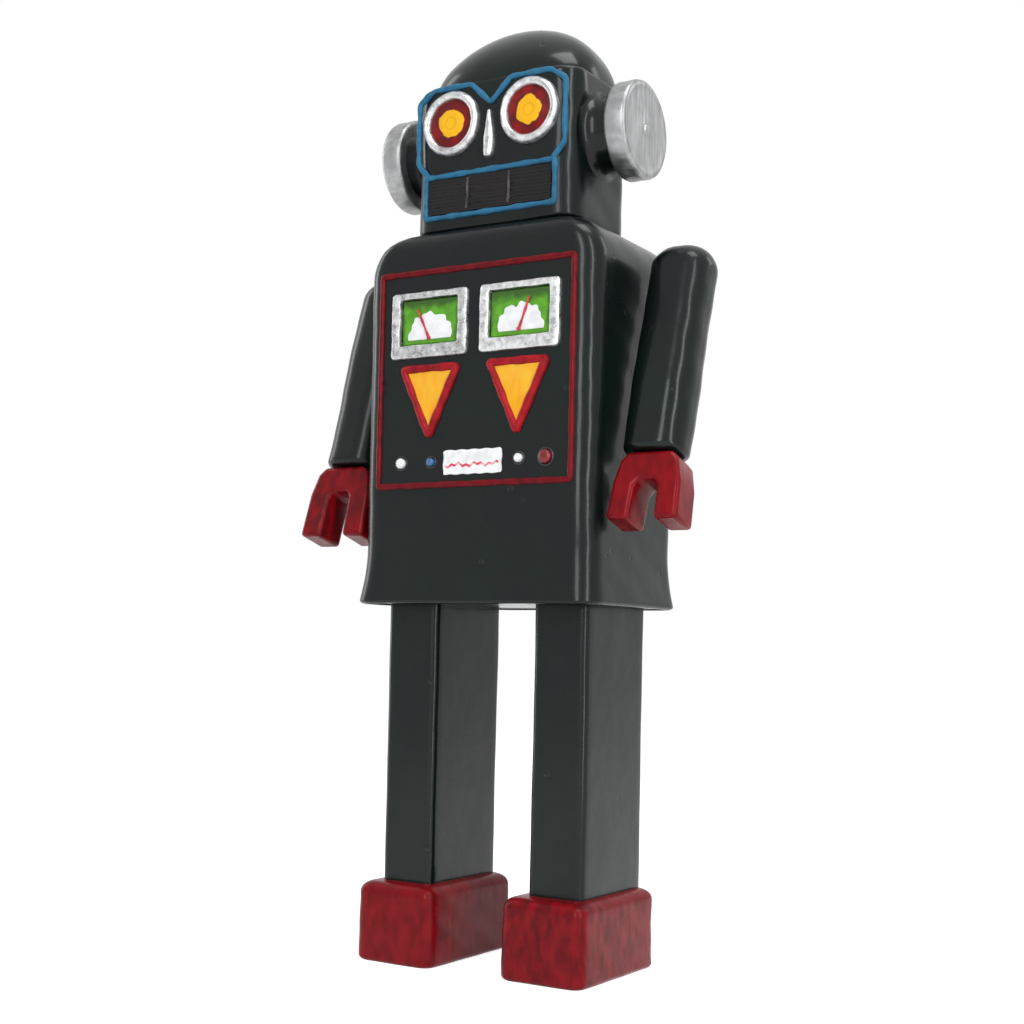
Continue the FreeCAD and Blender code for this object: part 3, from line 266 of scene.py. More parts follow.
def relief(x, z, out, plane):
    """A closed plate on an upright plane whose front stands out by a height for each place on a grid."""
    out = np.array(out, float)
    out[[0, -1]], out[:, [0, -1]] = SUNK, SUNK
    points = np.stack([x, plane - out, z], -1)
    rows, columns = x.shape
    index = np.arange(rows * columns).reshape(rows, columns)
    faces = np.stack([index[:-1, :-1], index[:-1, 1:], index[1:, 1:], index[1:, :-1]], -1).reshape(-1, 4).tolist()
    rim = np.concatenate([index[0, :-1], index[:-1, -1], index[-1, :0:-1], index[:0:-1, 0]])
    return points.reshape(-1, 3), faces + [rim[::-1].tolist()]


def raised(outline, plane, proud, ease=0.35 * MM):
    """A low plate on an upright plane, its front edge eased by drawing the outline in to its middle."""
    outline = np.asarray(outline, float)
    middle = outline.mean(0)
    size = np.linalg.norm(outline - middle, axis=1).mean()
    shrink = 1 - np.array([0, 0, 0.3, 1.0, 3.0]) * ease / size
    out = np.array([SUNK, proud - ease, proud - 0.3 * ease, proud, proud])
    flat = middle + (outline - middle) * shrink[:, None, None]
    return np.stack([flat[..., 0], np.repeat((plane - out)[:, None], len(outline), 1), flat[..., 1]], -1)


def extruded(outline, low, high):
    """A prism from an outline in X and Z between two depths."""
    outline = np.asarray(outline, float)
    return np.stack([np.insert(outline, 1, depth, axis=1) for depth in (low, high)])


def joint_place(name):
    """A joint's place on the robot."""
    return next(joint for joint in frame["joints"] if joint["name"] == name)["pos_m"]


def shoulder_pivot(side, sizes):
    """The middle of the arm across, on the shoulder's own axis."""
    low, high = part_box(f"arm_{side}")
    middle = max(abs(low.x), abs(high.x)) - sizes.arm_width / 2
    return (SIDES[side] * middle, *joint_place(f"{side}_shoulder")[1:])


def leaned(points, side, sizes):
    """Arm points moved to the robot's frame: turned about X by the tilt and put at the shoulder pivot."""
    pivot = shoulder_pivot(side, sizes)
    cosine, sine = math.cos(sizes.tilt), math.sin(sizes.tilt)
    x, y, z = points[..., 0], points[..., 1], points[..., 2]
    return np.stack([x + pivot[0], cosine * y - sine * z + pivot[1], sine * y + cosine * z + pivot[2]], -1)


# ------------------------------------------------------------------ pieces
def mesh_of(name, surface, merge=True):
    """A mesh of points and faces: doubles merged where wanted, then every face turned outward."""
    mesh = bpy.data.meshes.new(name)
    mesh.from_pydata(surface[0].tolist(), [], surface[1])
    work = bmesh.new()
    work.from_mesh(mesh)
    if merge:
        bmesh.ops.remove_doubles(work, verts=work.verts, dist=1e-6)
    bmesh.ops.recalc_face_normals(work, faces=work.faces)
    work.to_mesh(mesh)
    work.free()
    return mesh


def placed(name, data):
    """An object of the scene that holds the data."""
    item = bpy.data.objects.new(name, data)
    bpy.context.scene.collection.objects.link(item)
    return item


def painted(item, material):
    item.data.materials.clear()
    item.data.materials.append(material)


def soft_edges(item, width, segments, angle):
    """A live bevel on the edges sharper than an angle in degrees."""
    edge = item.modifiers.new("Bevel", "BEVEL")
    edge.width, edge.segments, edge.limit_method, edge.angle_limit = width, segments, "ANGLE", math.radians(angle)


def piece(name, surface, body, material, replaces=(), sharp=38, bevel=0.0, wall=0.0, cutters=()):
    """Puts a surface into a mesh object that rides on a body, with its wall, openings, soft edges and finish."""
    item = placed(name, mesh_of(name, surface))
    if wall:
        thick = item.modifiers.new("Wall", "SOLIDIFY")
        thick.thickness, thick.offset = wall, -1.0
    labels = [f"{name}_cutter_{number}" for number in range(len(cutters))]
    tools = [placed(label, mesh_of(label, cutter, merge=False)) for label, cutter in zip(labels, cutters)]
    for tool in tools:
        opening = item.modifiers.new("Opening", "BOOLEAN")
        opening.operation, opening.solver, opening.object = "DIFFERENCE", "EXACT", tool
    if wall or tools:
        bpy.context.view_layer.update()
        finished = bpy.data.meshes.new_from_object(item.evaluated_get(bpy.context.evaluated_depsgraph_get()))
        item.modifiers.clear()
        item.data = finished
        finished.name = name
        for tool in tools:
            bpy.data.objects.remove(tool)
    item.data.polygons.foreach_set("use_smooth", np.ones(len(item.data.polygons), bool))
    item.data.set_sharp_from_angle(angle=math.radians(sharp))
    if bevel:
        soft_edges(item, bevel, 3, 30)
    painted(item, material)
    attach(item, body)
    if replaces:
        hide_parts(*replaces)


def dress(node, material, bevel=0.0):
    """Gives a CAD node a finish, and soft edges by a weld and a bevel where they are wanted."""
    item = frame["nodes"][node]
    painted(item, material)
    if bevel:
        item.modifiers.new("Weld", "WELD").merge_threshold = 1e-6
        soft_edges(item, bevel, 2, 40)


def box_surface(low, high):
    """The closed skin of a block between two corners."""
    low, high = np.array(low, float), np.array(high, float)
    middle, half = (low + high) / 2, (high - low) / 2
    square = np.array([[-1, -1], [1, -1], [1, 1], [-1, 1]]) * half[:2] + middle[:2]
    return skin(np.stack([np.insert(square, 2, level, axis=1) for level in (low[2], high[2])]))


# ------------------------------------------------------------------ node groups and materials
def add(tree, kind, sockets=None, **settings):
    """A node with its settings; each socket takes a value or a link from another node's output."""
    made = tree.nodes.new(kind)
    for name, value in settings.items():
        setattr(made, name, value)
    for name, value in (sockets or {}).items():
        if isinstance(value, bpy.types.NodeSocket):
            tree.links.new(value, made.inputs[name])
        else:
            made.inputs[name].default_value = value
    return made


def math_node(tree, operation, *values, clamp=False):
    return add(tree, "ShaderNodeMath", dict(enumerate(values)), operation=operation, use_clamp=clamp).outputs[0]


def plus(tree, first, second):
    return math_node(tree, "ADD", first, second)


def less(tree, first, second):
    return math_node(tree, "SUBTRACT", first, second)


def times(tree, first, second, clamp=False):
    return math_node(tree, "MULTIPLY", first, second, clamp=clamp)


def own_place(tree):
    """The place on the piece, in metres."""
    return add(tree, "ShaderNodeTexCoord").outputs["Object"]


def noise(tree, place, scale, detail=2.0, rough=0.5):
    """Fractal noise of a place, about 0 to 1."""
    return add(tree, "ShaderNodeTexNoise", {"Vector": place, "Scale": scale, "Detail": detail,
                                            "Roughness": rough}).outputs["Fac"]


def blend(tree, share, first, second):
    """A colour between two, by a share."""
    made = add(tree, "ShaderNodeMix", {0: share}, data_type="RGBA")
    for socket, value in ((made.inputs[6], first), (made.inputs[7], second)):
        if isinstance(value, bpy.types.NodeSocket):
            tree.links.new(value, socket)
        else:
            socket.default_value = (*value, 1)
    return made.outputs[2]


def step(tree, value, low, high):
    """0 below low, 1 above high, and a smooth rise between."""
    return add(tree, "ShaderNodeMapRange", {0: value, 1: low, 2: high},
               interpolation_type="SMOOTHSTEP").outputs[0]


def group(name, inputs, outputs, fill):
    """A shader node group with named inputs and outputs, made once."""
    if name in bpy.data.node_groups:
        return bpy.data.node_groups[name]
    tree = bpy.data.node_groups.new(name, "ShaderNodeTree")
    for label, value in inputs.items():
        kind = "NodeSocketVector" if isinstance(value, tuple) else "NodeSocketFloat"
        tree.interface.new_socket(label, in_out="INPUT", socket_type=kind).default_value = value
    for label in outputs:
        tree.interface.new_socket(label, in_out="OUTPUT", socket_type="NodeSocketFloat")
    source, target = tree.nodes.new("NodeGroupInput"), tree.nodes.new("NodeGroupOutput")
    for label, value in fill(tree, source.outputs).items():
        tree.links.new(value, target.inputs[label])
    return tree


def cast_surface():
    """Hand-cast resin under paint: slow waves, fine grain, round pits, and a slow mottle for the colour."""
    def fill(tree, given):
        place = own_place(tree)
        wave = noise(tree, place, 62.0, 2.0)
        grain = noise(tree, place, 900.0, 3.0)
        mottle = noise(tree, place, 24.0, 5.0, 0.62)
        cells = add(tree, "ShaderNodeTexVoronoi", {"Vector": place, "Scale": 210.0})
        chosen = step(tree, add(tree, "ShaderNodeSeparateColor", {0: cells.outputs["Color"]}).outputs[0],
                      less(tree, 1.0, given["Pit Share"]), 1.0)
        pits = times(tree, chosen,
                         less(tree, 1.0, step(tree, cells.outputs["Distance"], 0.08, 0.24)))
        height = plus(tree, times(tree, wave, given["Wave"]),
                           times(tree, grain, given["Grain"]))
        height = less(tree, height, times(tree, pits, given["Pit Depth"]))
        return {"Height": height, "Mottle": step(tree, mottle, 0.36, 0.66), "Pits": pits}
    return group("Cast Surface", {"Wave": 0.6, "Grain": 0.03, "Pit Depth": 0.5, "Pit Share": 0.05},
                 ("Height", "Mottle", "Pits"), fill)


def brush_strokes():
    """Brush marks: noise drawn out along one axis by a stretch for each axis, as a height and a tone."""
    def fill(tree, given):
        place = add(tree, "ShaderNodeVectorMath", {0: own_place(tree),
                                                  1: given["Stretch"]}, operation="MULTIPLY").outputs[0]
        fine = noise(tree, place, 1.0, 4.0)
        return {"Tone": step(tree, fine, 0.3, 0.7), "Height": fine}
    return group("Brush Strokes", {"Stretch": (500.0, 500.0, 90.0)}, ("Tone", "Height"), fill)


def metal_leaf():
    """Wrinkled silver leaf: broken cells and creases as a tone, a roughness and a height."""
    def fill(tree, given):
        place = own_place(tree)
        crease = noise(tree, place, given["Size"], 6.0, 0.7)
        flakes = add(tree, "ShaderNodeTexVoronoi", {"Vector": place, "Scale": given["Size"]}, feature="F1")
        flake = add(tree, "ShaderNodeSeparateColor", {0: flakes.outputs["Color"]}).outputs[0]
        tone = plus(tree, times(tree, flake, 0.35),
                         times(tree, step(tree, crease, 0.3, 0.7), 0.65))
        return {"Tone": tone, "Height": plus(tree, crease, times(tree, flake, 0.3)),
                "Roughness": plus(tree, times(tree, tone, 0.25), given["Least"])}
    return group("Metal Leaf", {"Size": 420.0, "Least": 0.22}, ("Tone", "Height", "Roughness"), fill)


def place_group(tree, made, **values):
    """A group placed in a material's tree with its own values."""
    sockets = {label.replace("_", " "): value for label, value in values.items()}
    return add(tree, "ShaderNodeGroup", sockets, node_tree=made).outputs


def material(name, **constants):
    """A material with one Principled shader, its plain numbers set on the shader's own sockets."""
    made = bpy.data.materials.new(name)
    made.use_nodes = True
    tree = made.node_tree
    shader = tree.nodes["Principled BSDF"]
    for label, value in constants.items():
        shader.inputs[label.replace("_", " ")].default_value = value
    return made, tree, shader.inputs


def bump(tree, sockets, height, strength, distance):
    tree.links.new(add(tree, "ShaderNodeBump", {"Height": height, "Strength": strength,
                                                "Distance": distance * MM}).outputs[0], sockets["Normal"])


def from_place(tree, centre):
    """The place in metres, and its way from a centre on the robot in millimetres."""
    place, scale = own_place(tree), 1 / MM
    away = add(tree, "ShaderNodeMapping", {"Vector": place, "Location": tinted(centre, -scale),
                                           "Scale": (scale, scale, scale)}).outputs[0]
    return place, away


def enamel(name, base, shade, grain=0.05, wave=0.7, gloss=0.2, pits=0.08, pit_tone=0.35):
    """Glossy enamel over a hand-cast surface: the colour drifts in patches, pits are darker and duller."""
    made, tree, sockets = material(name, Specular_IOR_Level=0.15, Coat_Weight=0.16, Coat_Roughness=0.08)
    cast = place_group(tree, cast_surface(), Grain=grain, Wave=wave, Pit_Share=pits)
    drift = blend(tree, cast["Mottle"], base, shade)
    tree.links.new(blend(tree, times(tree, cast["Pits"], 1 - pit_tone), drift, (0.004, 0.004, 0.004)),
                   sockets["Base Color"])
    rough = plus(tree, gloss, times(tree, cast["Mottle"], 0.12))
    tree.links.new(plus(tree, rough, times(tree, cast["Pits"], 0.3)), sockets["Roughness"])
    bump(tree, sockets, cast["Height"], 0.7, 0.7)
    return made


def brushed_paint(name, base, shade, stretch, gloss=0.22, pits=0.06, specular=0.12):
    """Paint laid on with a brush: strokes carry the colour from base to shade, over small dark pits."""
    made, tree, sockets = material(name, Specular_IOR_Level=specular)
    cast = place_group(tree, cast_surface(), Grain=0.04, Wave=0.5, Pit_Share=pits)
    strokes = place_group(tree, brush_strokes(), Stretch=stretch)
    share = times(tree, strokes["Tone"], plus(tree, 0.35,
                      times(tree, cast["Mottle"], 0.5)), clamp=True)
    tree.links.new(blend(tree, times(tree, cast["Pits"], 0.8), blend(tree, share, base, shade),
                         (0.006, 0.003, 0.004)), sockets["Base Color"])
    tree.links.new(plus(tree, gloss, times(tree, share, 0.2)), sockets["Roughness"])
    height = plus(tree, cast["Height"], times(tree, strokes["Height"], 0.12))
    bump(tree, sockets, height, 0.5, 0.5)
    return made


def silver(name, base, size=420.0, least=0.22, dark=0.42, strength=0.5, stretch=None):
    """Silver leaf or brushed silver paint, its tone and roughness broken up by flakes or by strokes."""
    made, tree, sockets = material(name, Metallic=0.9)
    leaf = place_group(tree, metal_leaf(), Size=size, Least=least)
    tone, height = leaf["Tone"], leaf["Height"]
    if stretch:
        strokes = place_group(tree, brush_strokes(), Stretch=stretch)
        tone = plus(tree, times(tree, strokes["Tone"], 0.6),
                         times(tree, tone, 0.4))
        height = plus(tree, strokes["Height"], times(tree, height, 0.3))
    tree.links.new(blend(tree, tone, tinted(base, dark), base), sockets["Base Color"])
    tree.links.new(leaf["Roughness"], sockets["Roughness"])
    bump(tree, sockets, height, strength, 0.25)
    return made


def eye_paint(name, centre, red, red_shade, yellow):
    """A yellow pupil with an uneven many-sided edge on a dark red iris, by distance from the eye's middle."""
    made, tree, sockets = material(name, Specular_IOR_Level=0.22, Roughness=0.3)
    place, away = from_place(tree, centre)
    cells = add(tree, "ShaderNodeTexVoronoi", {"Vector": place, "Scale": 190.0}).outputs["Distance"]
    slow = noise(tree, place, 260.0, 2.0)
    flat = add(tree, "ShaderNodeVectorMath", {0: away, 1: (1, 0, 1)}, operation="MULTIPLY").outputs[0]
    radius = add(tree, "ShaderNodeVectorMath", {0: flat}, operation="LENGTH").outputs["Value"]
    edge = plus(tree, radius, times(tree, slow, 2.6))
    inside = less(tree, 1.0, step(tree, edge, 5.6, 5.9))
    ring = less(tree, 1.0, step(tree, math_node(tree, "ABSOLUTE",
                     less(tree, radius, 1.9)), 0.1, 0.5))
    gold = blend(tree, times(tree, ring, 0.35), yellow, tinted(yellow, 0.62))
    iris = blend(tree, step(tree, cells, 0.15, 0.6), red, red_shade)
    tree.links.new(blend(tree, inside, iris, gold), sockets["Base Color"])
    height = plus(tree, times(tree, inside, 0.6), times(tree, slow, 0.5))
    bump(tree, sockets, height, 0.6, 0.4)
    return made


def dial_paint(name, centre, green):
    """Green dial paint, streaky, with painted shade towards its upper edge and in its corners, under the bezel's
    rim.
    """
    made, tree, sockets = material(name, Roughness=0.34, Specular_IOR_Level=0.4)
    place, away = from_place(tree, centre)
    parts = add(tree, "ShaderNodeSeparateXYZ", {0: away}).outputs
    streak = noise(tree, place, 330.0, 3.0)
    # painted shade: the green darkens towards the upper edge and at the sides, under the bezel's rim
    up = plus(tree, parts["Z"], times(tree, streak, 3.0))
    dark = step(tree, up, 4.4, 7.4)
    edge = step(tree, plus(tree, math_node(tree, "ABSOLUTE", parts["X"]),
                                times(tree, streak, 2.0)), 9.6, 11.8)
    shade = math_node(tree, "MAXIMUM", dark, edge)
    lit = blend(tree, step(tree, streak, 0.35, 0.65), green, tinted(green, 0.7))
    tree.links.new(blend(tree, times(tree, shade, 0.85), lit, tinted(green, 0.16)),
                   sockets["Base Color"])
    bump(tree, sockets, streak, 0.5, 0.3)
    return made


def lens_paint(name, yellow, pale, left):
    """Thick yellow paint with an orange drift and lighter strokes; the left lens gets more of the pale, a painted
    highlight on the side toward the key lamp.
    """
    made, tree, sockets = material(name, Roughness=0.28, Specular_IOR_Level=0.25)
    cast = place_group(tree, cast_surface(), Grain=0.03, Wave=0.9, Pit_Share=0.01)
    strokes = place_group(tree, brush_strokes(), Stretch=(420.0, 300.0, 130.0))
    warm = blend(tree, strokes["Tone"], yellow, tuple(a * b for a, b in zip(yellow, (1.0, 0.72, 0.6))))
    # pale patches: the paint's own on both lenses, with a larger share on the left lens as a painted highlight
    tree.links.new(blend(tree, times(tree, cast["Mottle"], 0.55 if left else 0.25), warm, pale),
                   sockets["Base Color"])
    bump(tree, sockets, cast["Height"], 0.6, 0.5)
    return made


def chart_paint(name, centre, half, white, red):
    """A white strip with one red line that wavers along it like a pen trace."""
    made, tree, sockets = material(name, Roughness=0.4, Specular_IOR_Level=0.35)
    place, away = from_place(tree, centre)
    parts = add(tree, "ShaderNodeSeparateXYZ", {0: away}).outputs
    slow = math_node(tree, "SINE", times(tree, parts["X"], 0.9))
    quick = math_node(tree, "SINE", times(tree, parts["X"], 2.3))
    trace = plus(tree, times(tree, slow, 0.32), times(tree, quick, 0.3))
    gap = math_node(tree, "ABSOLUTE", less(tree, plus(tree, parts["Z"], 0.9), trace))
    out = math_node(tree, "ABSOLUTE", parts["X"])
    within = less(tree, 1.0, step(tree, out, half - 1.0, half - 0.8))
    fade = noise(tree, place, 300.0, 3.0)
    line = times(tree, less(tree, 1.0, step(tree, gap, 0.3, 0.52)), within)
    line = times(tree, line, step(tree, fade, 0.2, 0.5))
    ground = blend(tree, step(tree, fade, 0.45, 0.7), white, tinted(white, 0.84))
    tree.links.new(blend(tree, line, ground, red), sockets["Base Color"])
    bump(tree, sockets, plus(tree, fade, line), 0.4, 0.25)
    return made


def plain_paint(name, base, shade, rough=0.35, scale=400.0, metallic=0.0, depth=0.2, specular=0.45):
    """A small part's finish: two near tones in fine patches, with a faint matching bump."""
    made, tree, sockets = material(name, Metallic=metallic, Specular_IOR_Level=specular)
    place = own_place(tree)
    patches = noise(tree, place, scale, 4.0)
    tree.links.new(blend(tree, step(tree, patches, 0.35, 0.65), base, shade), sockets["Base Color"])
    tree.links.new(plus(tree, rough, times(tree, patches, 0.15)), sockets["Roughness"])
    bump(tree, sockets, patches, 0.4, depth)
    return made


def white_rays(tree):
    """1 on the rays that the camera sees, at once or by gloss or glass."""
    ray = add(tree, "ShaderNodeLightPath").outputs
    bent = math_node(tree, "MAXIMUM", ray["Is Glossy Ray"], ray["Is Transmission Ray"])
    return math_node(tree, "MAXIMUM", ray["Is Camera Ray"], bent)


def finish(name, make, *values, **settings):
    """The named finish, made the first time it is asked for."""
    return bpy.data.materials.get(name) or make(name, *values, **settings)


def case_enamel():
    colours = bpy.context.scene.robot_paint
    return finish("Green-black enamel", enamel, tuple(colours.case), tuple(colours.case_shade))


def red_enamel():
    colours = bpy.context.scene.robot_paint
    return finish("Red enamel", brushed_paint, tuple(colours.red), tuple(colours.red_shade),
                  (330.0, 330.0, 150.0))


def leaf_silver():
    return finish("Silver leaf", silver, tuple(bpy.context.scene.robot_paint.metal))


def inner(name, base, shade, **settings):
    return finish(name, plain_paint, paint(*base), paint(*shade), **settings)


# ------------------------------------------------------------------ operators
class ROBOT_OT_case(bpy.types.Operator):
    """Case skin: rounded rectangle rings with a spread skirt and rolled lip, opened where other parts show"""
    bl_idname = "robot.case"
    bl_label = "Case"

    def execute(self, context):
        sizes = context.scene.robot_case
        low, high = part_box("torso_front_shell")
        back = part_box("torso_back_shell")[1].y - sizes.flare
        half_x, half_y = high.x - sizes.flare, back
        level, _ = rounded_ends(low.z, high.z, sizes.lip, sizes.shoulder, 52, steps=10)
        lip = np.clip((low.z + sizes.lip - level) / sizes.lip, 0, 1)
        rolled = sizes.lip * (1 - np.sqrt(1 - lip ** 2))
        spread = sizes.flare * np.clip((low.z + sizes.skirt - level) / sizes.skirt, 0, 1) ** 1.6
        over = np.clip((level - high.z + sizes.shoulder) / sizes.shoulder, 0, 1)
        brow = np.clip((level - high.z + sizes.brow) / sizes.brow, 0, 1)
        side_in = sizes.shoulder * (1 - np.sqrt(1 - over ** 2))
        front_in = sizes.brow * (1 - np.sqrt(1 - brow ** 2))
        wide, deep = half_x + spread - rolled - side_in, half_y + spread - rolled - front_in
        rings = rings_of(wide, deep, sizes.corner, level, steps=(10, 30))
        crown = rings[-1][None] * np.array([0.75, 0.75, 1.0]), rings[-1][None] * np.array([0.42, 0.42, 1.0])
        rings = np.concatenate([rings, *crown])
        points, faces = skin(rings, caps=(False, True))
        points = uneven(points, sizes.waver)
        panel, door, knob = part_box("chest_panel"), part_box("battery_door"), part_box("power_switch_knob")
        gap, reach, travel = 0.3 * MM, 8 * MM, 5 * MM
        cuts = [box_surface((panel[0].x, panel[0].y - 2 * MM, panel[0].z),
                            (panel[1].x, panel[1].y + 3 * MM, panel[1].z))]
        for (start, end), room in ((door, 0.0), (knob, travel)):
            cuts.append(box_surface((start.x - gap, back - reach, start.z - gap),
                                    (end.x + room + gap, back + reach, end.z + gap)))
        bore = [(sizes.screw_bore, -(back + 3 * MM)), (sizes.screw_bore, 6 * MM - back)]
        for x in (-sizes.screw_across, sizes.screw_across):
            for z in (sizes.screw_low, sizes.screw_high):
                cuts.append(skin(revolved(bore, (x, 0, z), steps=32)))
        piece("case_skin", (points, faces), "torso", case_enamel(),
              ("torso_front_shell", "torso_back_shell"), wall=sizes.wall, cutters=cuts)
        colours = context.scene.robot_paint
        dress("chest_panel", finish("Panel enamel", enamel, tuple(colours.case), tuple(colours.case_shade),
                                    grain=0.12, wave=0.9, gloss=0.24, pits=0.2))
        for node in ("battery_door", "base_plate"):
            dress(node, case_enamel(), bevel=0.35 * MM)
        dress("power_switch_knob", inner("Black moulded knob", (34, 34, 36), (24, 24, 26)), bevel=0.2 * MM)
        return {"FINISHED"}


class ROBOT_OT_panel(bpy.types.Operator):
    """Chest instruments: red border, gauges with dials and needles, yellow triangles, chart and push buttons"""
    bl_idname = "robot.panel"
    bl_label = "Chest instruments"

    def execute(self, context):
        colours = context.scene.robot_paint
        red, red_shade = tuple(colours.red), tuple(colours.red_shade)
        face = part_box("chest_panel")[0].y
        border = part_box("panel_border")
        line = 1.9 * MM
        low, high = border[0], border[1]
        half, base, top = high.x - line / 2, low.z + line / 2, high.z - line / 2
        piece("border_line", skin(bead([(-half, base), (half, base), (half, top), (-half, top)], face, line,
                                       face - low.y, wobble=0.07, reach=1), closed=True),
              "torso", finish("Border red", brushed_paint, paint(112, 14, 22), red_shade,
                                            (300.0, 300.0, 300.0), gloss=0.34), ("panel_border",))
        self.gauges(colours, face)
        self.triangles(colours, face)
        self.strip_and_buttons(colours, face)
        return {"FINISHED"}

    def gauges(self, colours, face):
        lean = {"left": 20.0, "right": -25.0}
        for side, sign in SIDES.items():
            low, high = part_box(f"gauge_bezel_{side}")
            centre_x, middle = (low.x + high.x) / 2, (low.z + high.z) / 2
            outer_x, outer_z, proud = (high.x - low.x) / 2, (high.z - low.z) / 2, face - low.y
            inner_x, inner_low, inner_high = 10.7 * MM, low.z + 4.2 * MM, high.z - 2.2 * MM
            inner_z, inner_mid = (inner_high - inner_low) / 2, (inner_high + inner_low) / 2
            drawn_in, opened = np.array([0, 0, 0.2, 0.5]) * MM, np.array([0.5, 0.15, 0, 0]) * MM
            half_x, half_z = (np.concatenate([outer - drawn_in, hole + opened])
                              for outer, hole in ((outer_x, inner_x), (outer_z, inner_z)))
            rise = proud - np.array([0.5, 0.15, 0]) * MM
            out = np.concatenate([[SUNK], rise, rise[::-1], [SUNK]])
            corner = np.array([1.3, 1.3, 1.2, 1.0, 0.9, 0.7, 0.6, 0.6]) * MM
            centre_z = np.array([middle] * 4 + [inner_mid] * 4)
            flat = rings_of(half_x, half_z, corner, out, steps=(5, 26))
            rings = np.stack([flat[..., 0] + centre_x, face - flat[..., 2], flat[..., 1] + centre_z[:, None]], -1)
            points, faces = skin(rings, closed=True)
            # the right bezel's lower tone and deeper darks are painted shade on the side turned from the key lamp;
            # the flake sizes are the leaf's own
            tone, flake, dark = {"left": (1.0, 520.0, 0.5), "right": (0.86, 640.0, 0.34)}[side]
            leaf = finish(f"Bezel leaf {side}", silver, tinted(colours.metal, tone), size=flake, least=0.2,
                          dark=dark, strength=0.9)
            points = uneven(points, 0.12 * MM, 7 * MM, sign)
            piece(f"bezel_{side}", (points, faces), "torso", leaf, (f"gauge_bezel_{side}",))
            x, z = np.meshgrid(np.linspace(-inner_x, inner_x, 40) + centre_x,
                               np.linspace(inner_low, inner_high, 30))
            height = 0.25 * MM + 0.06 * MM * np.sin(x * 900 + z * 500)
            piece(f"dial_{side}", relief(x, z, height, face), "torso",
                  finish(f"Dial green {side}", dial_paint, (centre_x, face, inner_mid), tuple(colours.dial)),
                  (f"gauge_dial_{side}",))
            pivot = inner_low + 1.6 * MM
            turn = np.linspace(0, math.pi, 60)
            notch = 0.08 * np.exp(-((turn - 1.5 - 0.3 * sign) / 0.13) ** 2)
            bumps = 1 + 0.04 * np.sin(9 * turn + sign) + 0.03 * np.sin(17 * turn) - notch
            arc = np.stack([centre_x + 0.2 * MM + 7.9 * MM * np.cos(turn) * bumps,
                            pivot + 8.4 * MM * np.sin(turn) ** 0.72 * bumps], -1)
            plate = skin(raised(arc, face - 0.25 * MM, 0.3 * MM, 0.15 * MM))
            piece(f"scale_{side}", plate, "torso",
                  finish("Scale white", plain_paint, tuple(colours.white), tinted(colours.white, 0.86),
                         rough=0.4, scale=260.0))
            centre = np.array(joint_place(f"needle_{side}_swing"))[[0, 2]]
            lean_by = math.radians(lean[side])
            along = np.array([math.sin(lean_by), math.cos(lean_by)])
            across = np.array([along[1], -along[0]])
            run = np.linspace(-0.5, 10.2, 24)[:, None] * MM
            half = 0.36 * MM * (1 + 0.25 * np.sin(run / MM * 1.3))
            edge = centre + along * run
            outline = np.concatenate([edge + across * half, (edge - across * half)[::-1]])
            turn = np.linspace(0, 2 * math.pi, 24, endpoint=False)
            hub = 0.62 * MM * np.stack([np.cos(turn), np.sin(turn)], -1) + centre
            blade = skin(extruded(outline, face - 0.95 * MM, face - 0.72 * MM))
            knob = skin(extruded(hub, face - 1.15 * MM, face - 0.68 * MM))
            points = np.concatenate([blade[0], knob[0]])
            faces = blade[1] + [[i + len(blade[0]) for i in f] for f in knob[1]]
            piece(f"needle_{side}_pointer", (points, faces), f"needle_{side}",
                  finish("Needle red", plain_paint, paint(206, 60, 78), paint(150, 30, 44), rough=0.4),
                  (f"gauge_needle_{side}",), sharp=50)

    def triangles(self, colours, face):
        for side, sign in SIDES.items():
            low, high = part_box(f"triangle_rim_{side}")
            middle, rim = (low.x + high.x) / 2, 2.6 * MM
            half, drop = (high.x - low.x) / 2, high.z - low.z
            slope = math.hypot(half, drop)
            corner_in = 0.42 * rim * (slope + half) / drop
            tip_in = 0.42 * rim * slope / half
            reach, level = half - corner_in, high.z - rim / 2
            outline = [(middle - reach, level), (middle + reach, level), (middle, low.z + tip_in)]
            edge = bead(outline, face, rim, face - low.y, wobble=0.07, phase=sign, reach=1)
            piece(f"triangle_line_{side}", skin(edge, closed=True), "torso",
                  finish("Triangle red", brushed_paint, paint(168, 26, 36), tuple(colours.red_shade),
                         (260.0, 260.0, 260.0), gloss=0.26, pits=0.02), (f"triangle_rim_{side}",))
            heart = np.array([middle, high.z - drop / 3])
            sides = np.array([(middle - half, high.z), (middle + half, high.z), (middle, low.z)])
            fill = softened(heart + (sides - heart) * (1 - 0.6 * rim * 3 / drop), True, reach=1)
            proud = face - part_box(f"triangle_lens_{side}")[0].y
            # the left lens's larger share of pale is a painted highlight on the side toward the key lamp
            piece(f"triangle_fill_{side}", skin(raised(fill, face, proud, 0.2 * MM)), "torso",
                  finish(f"Lens yellow {side}", lens_paint, tuple(colours.yellow), paint(242, 206, 96),
                         side == "left"), (f"triangle_lens_{side}",))

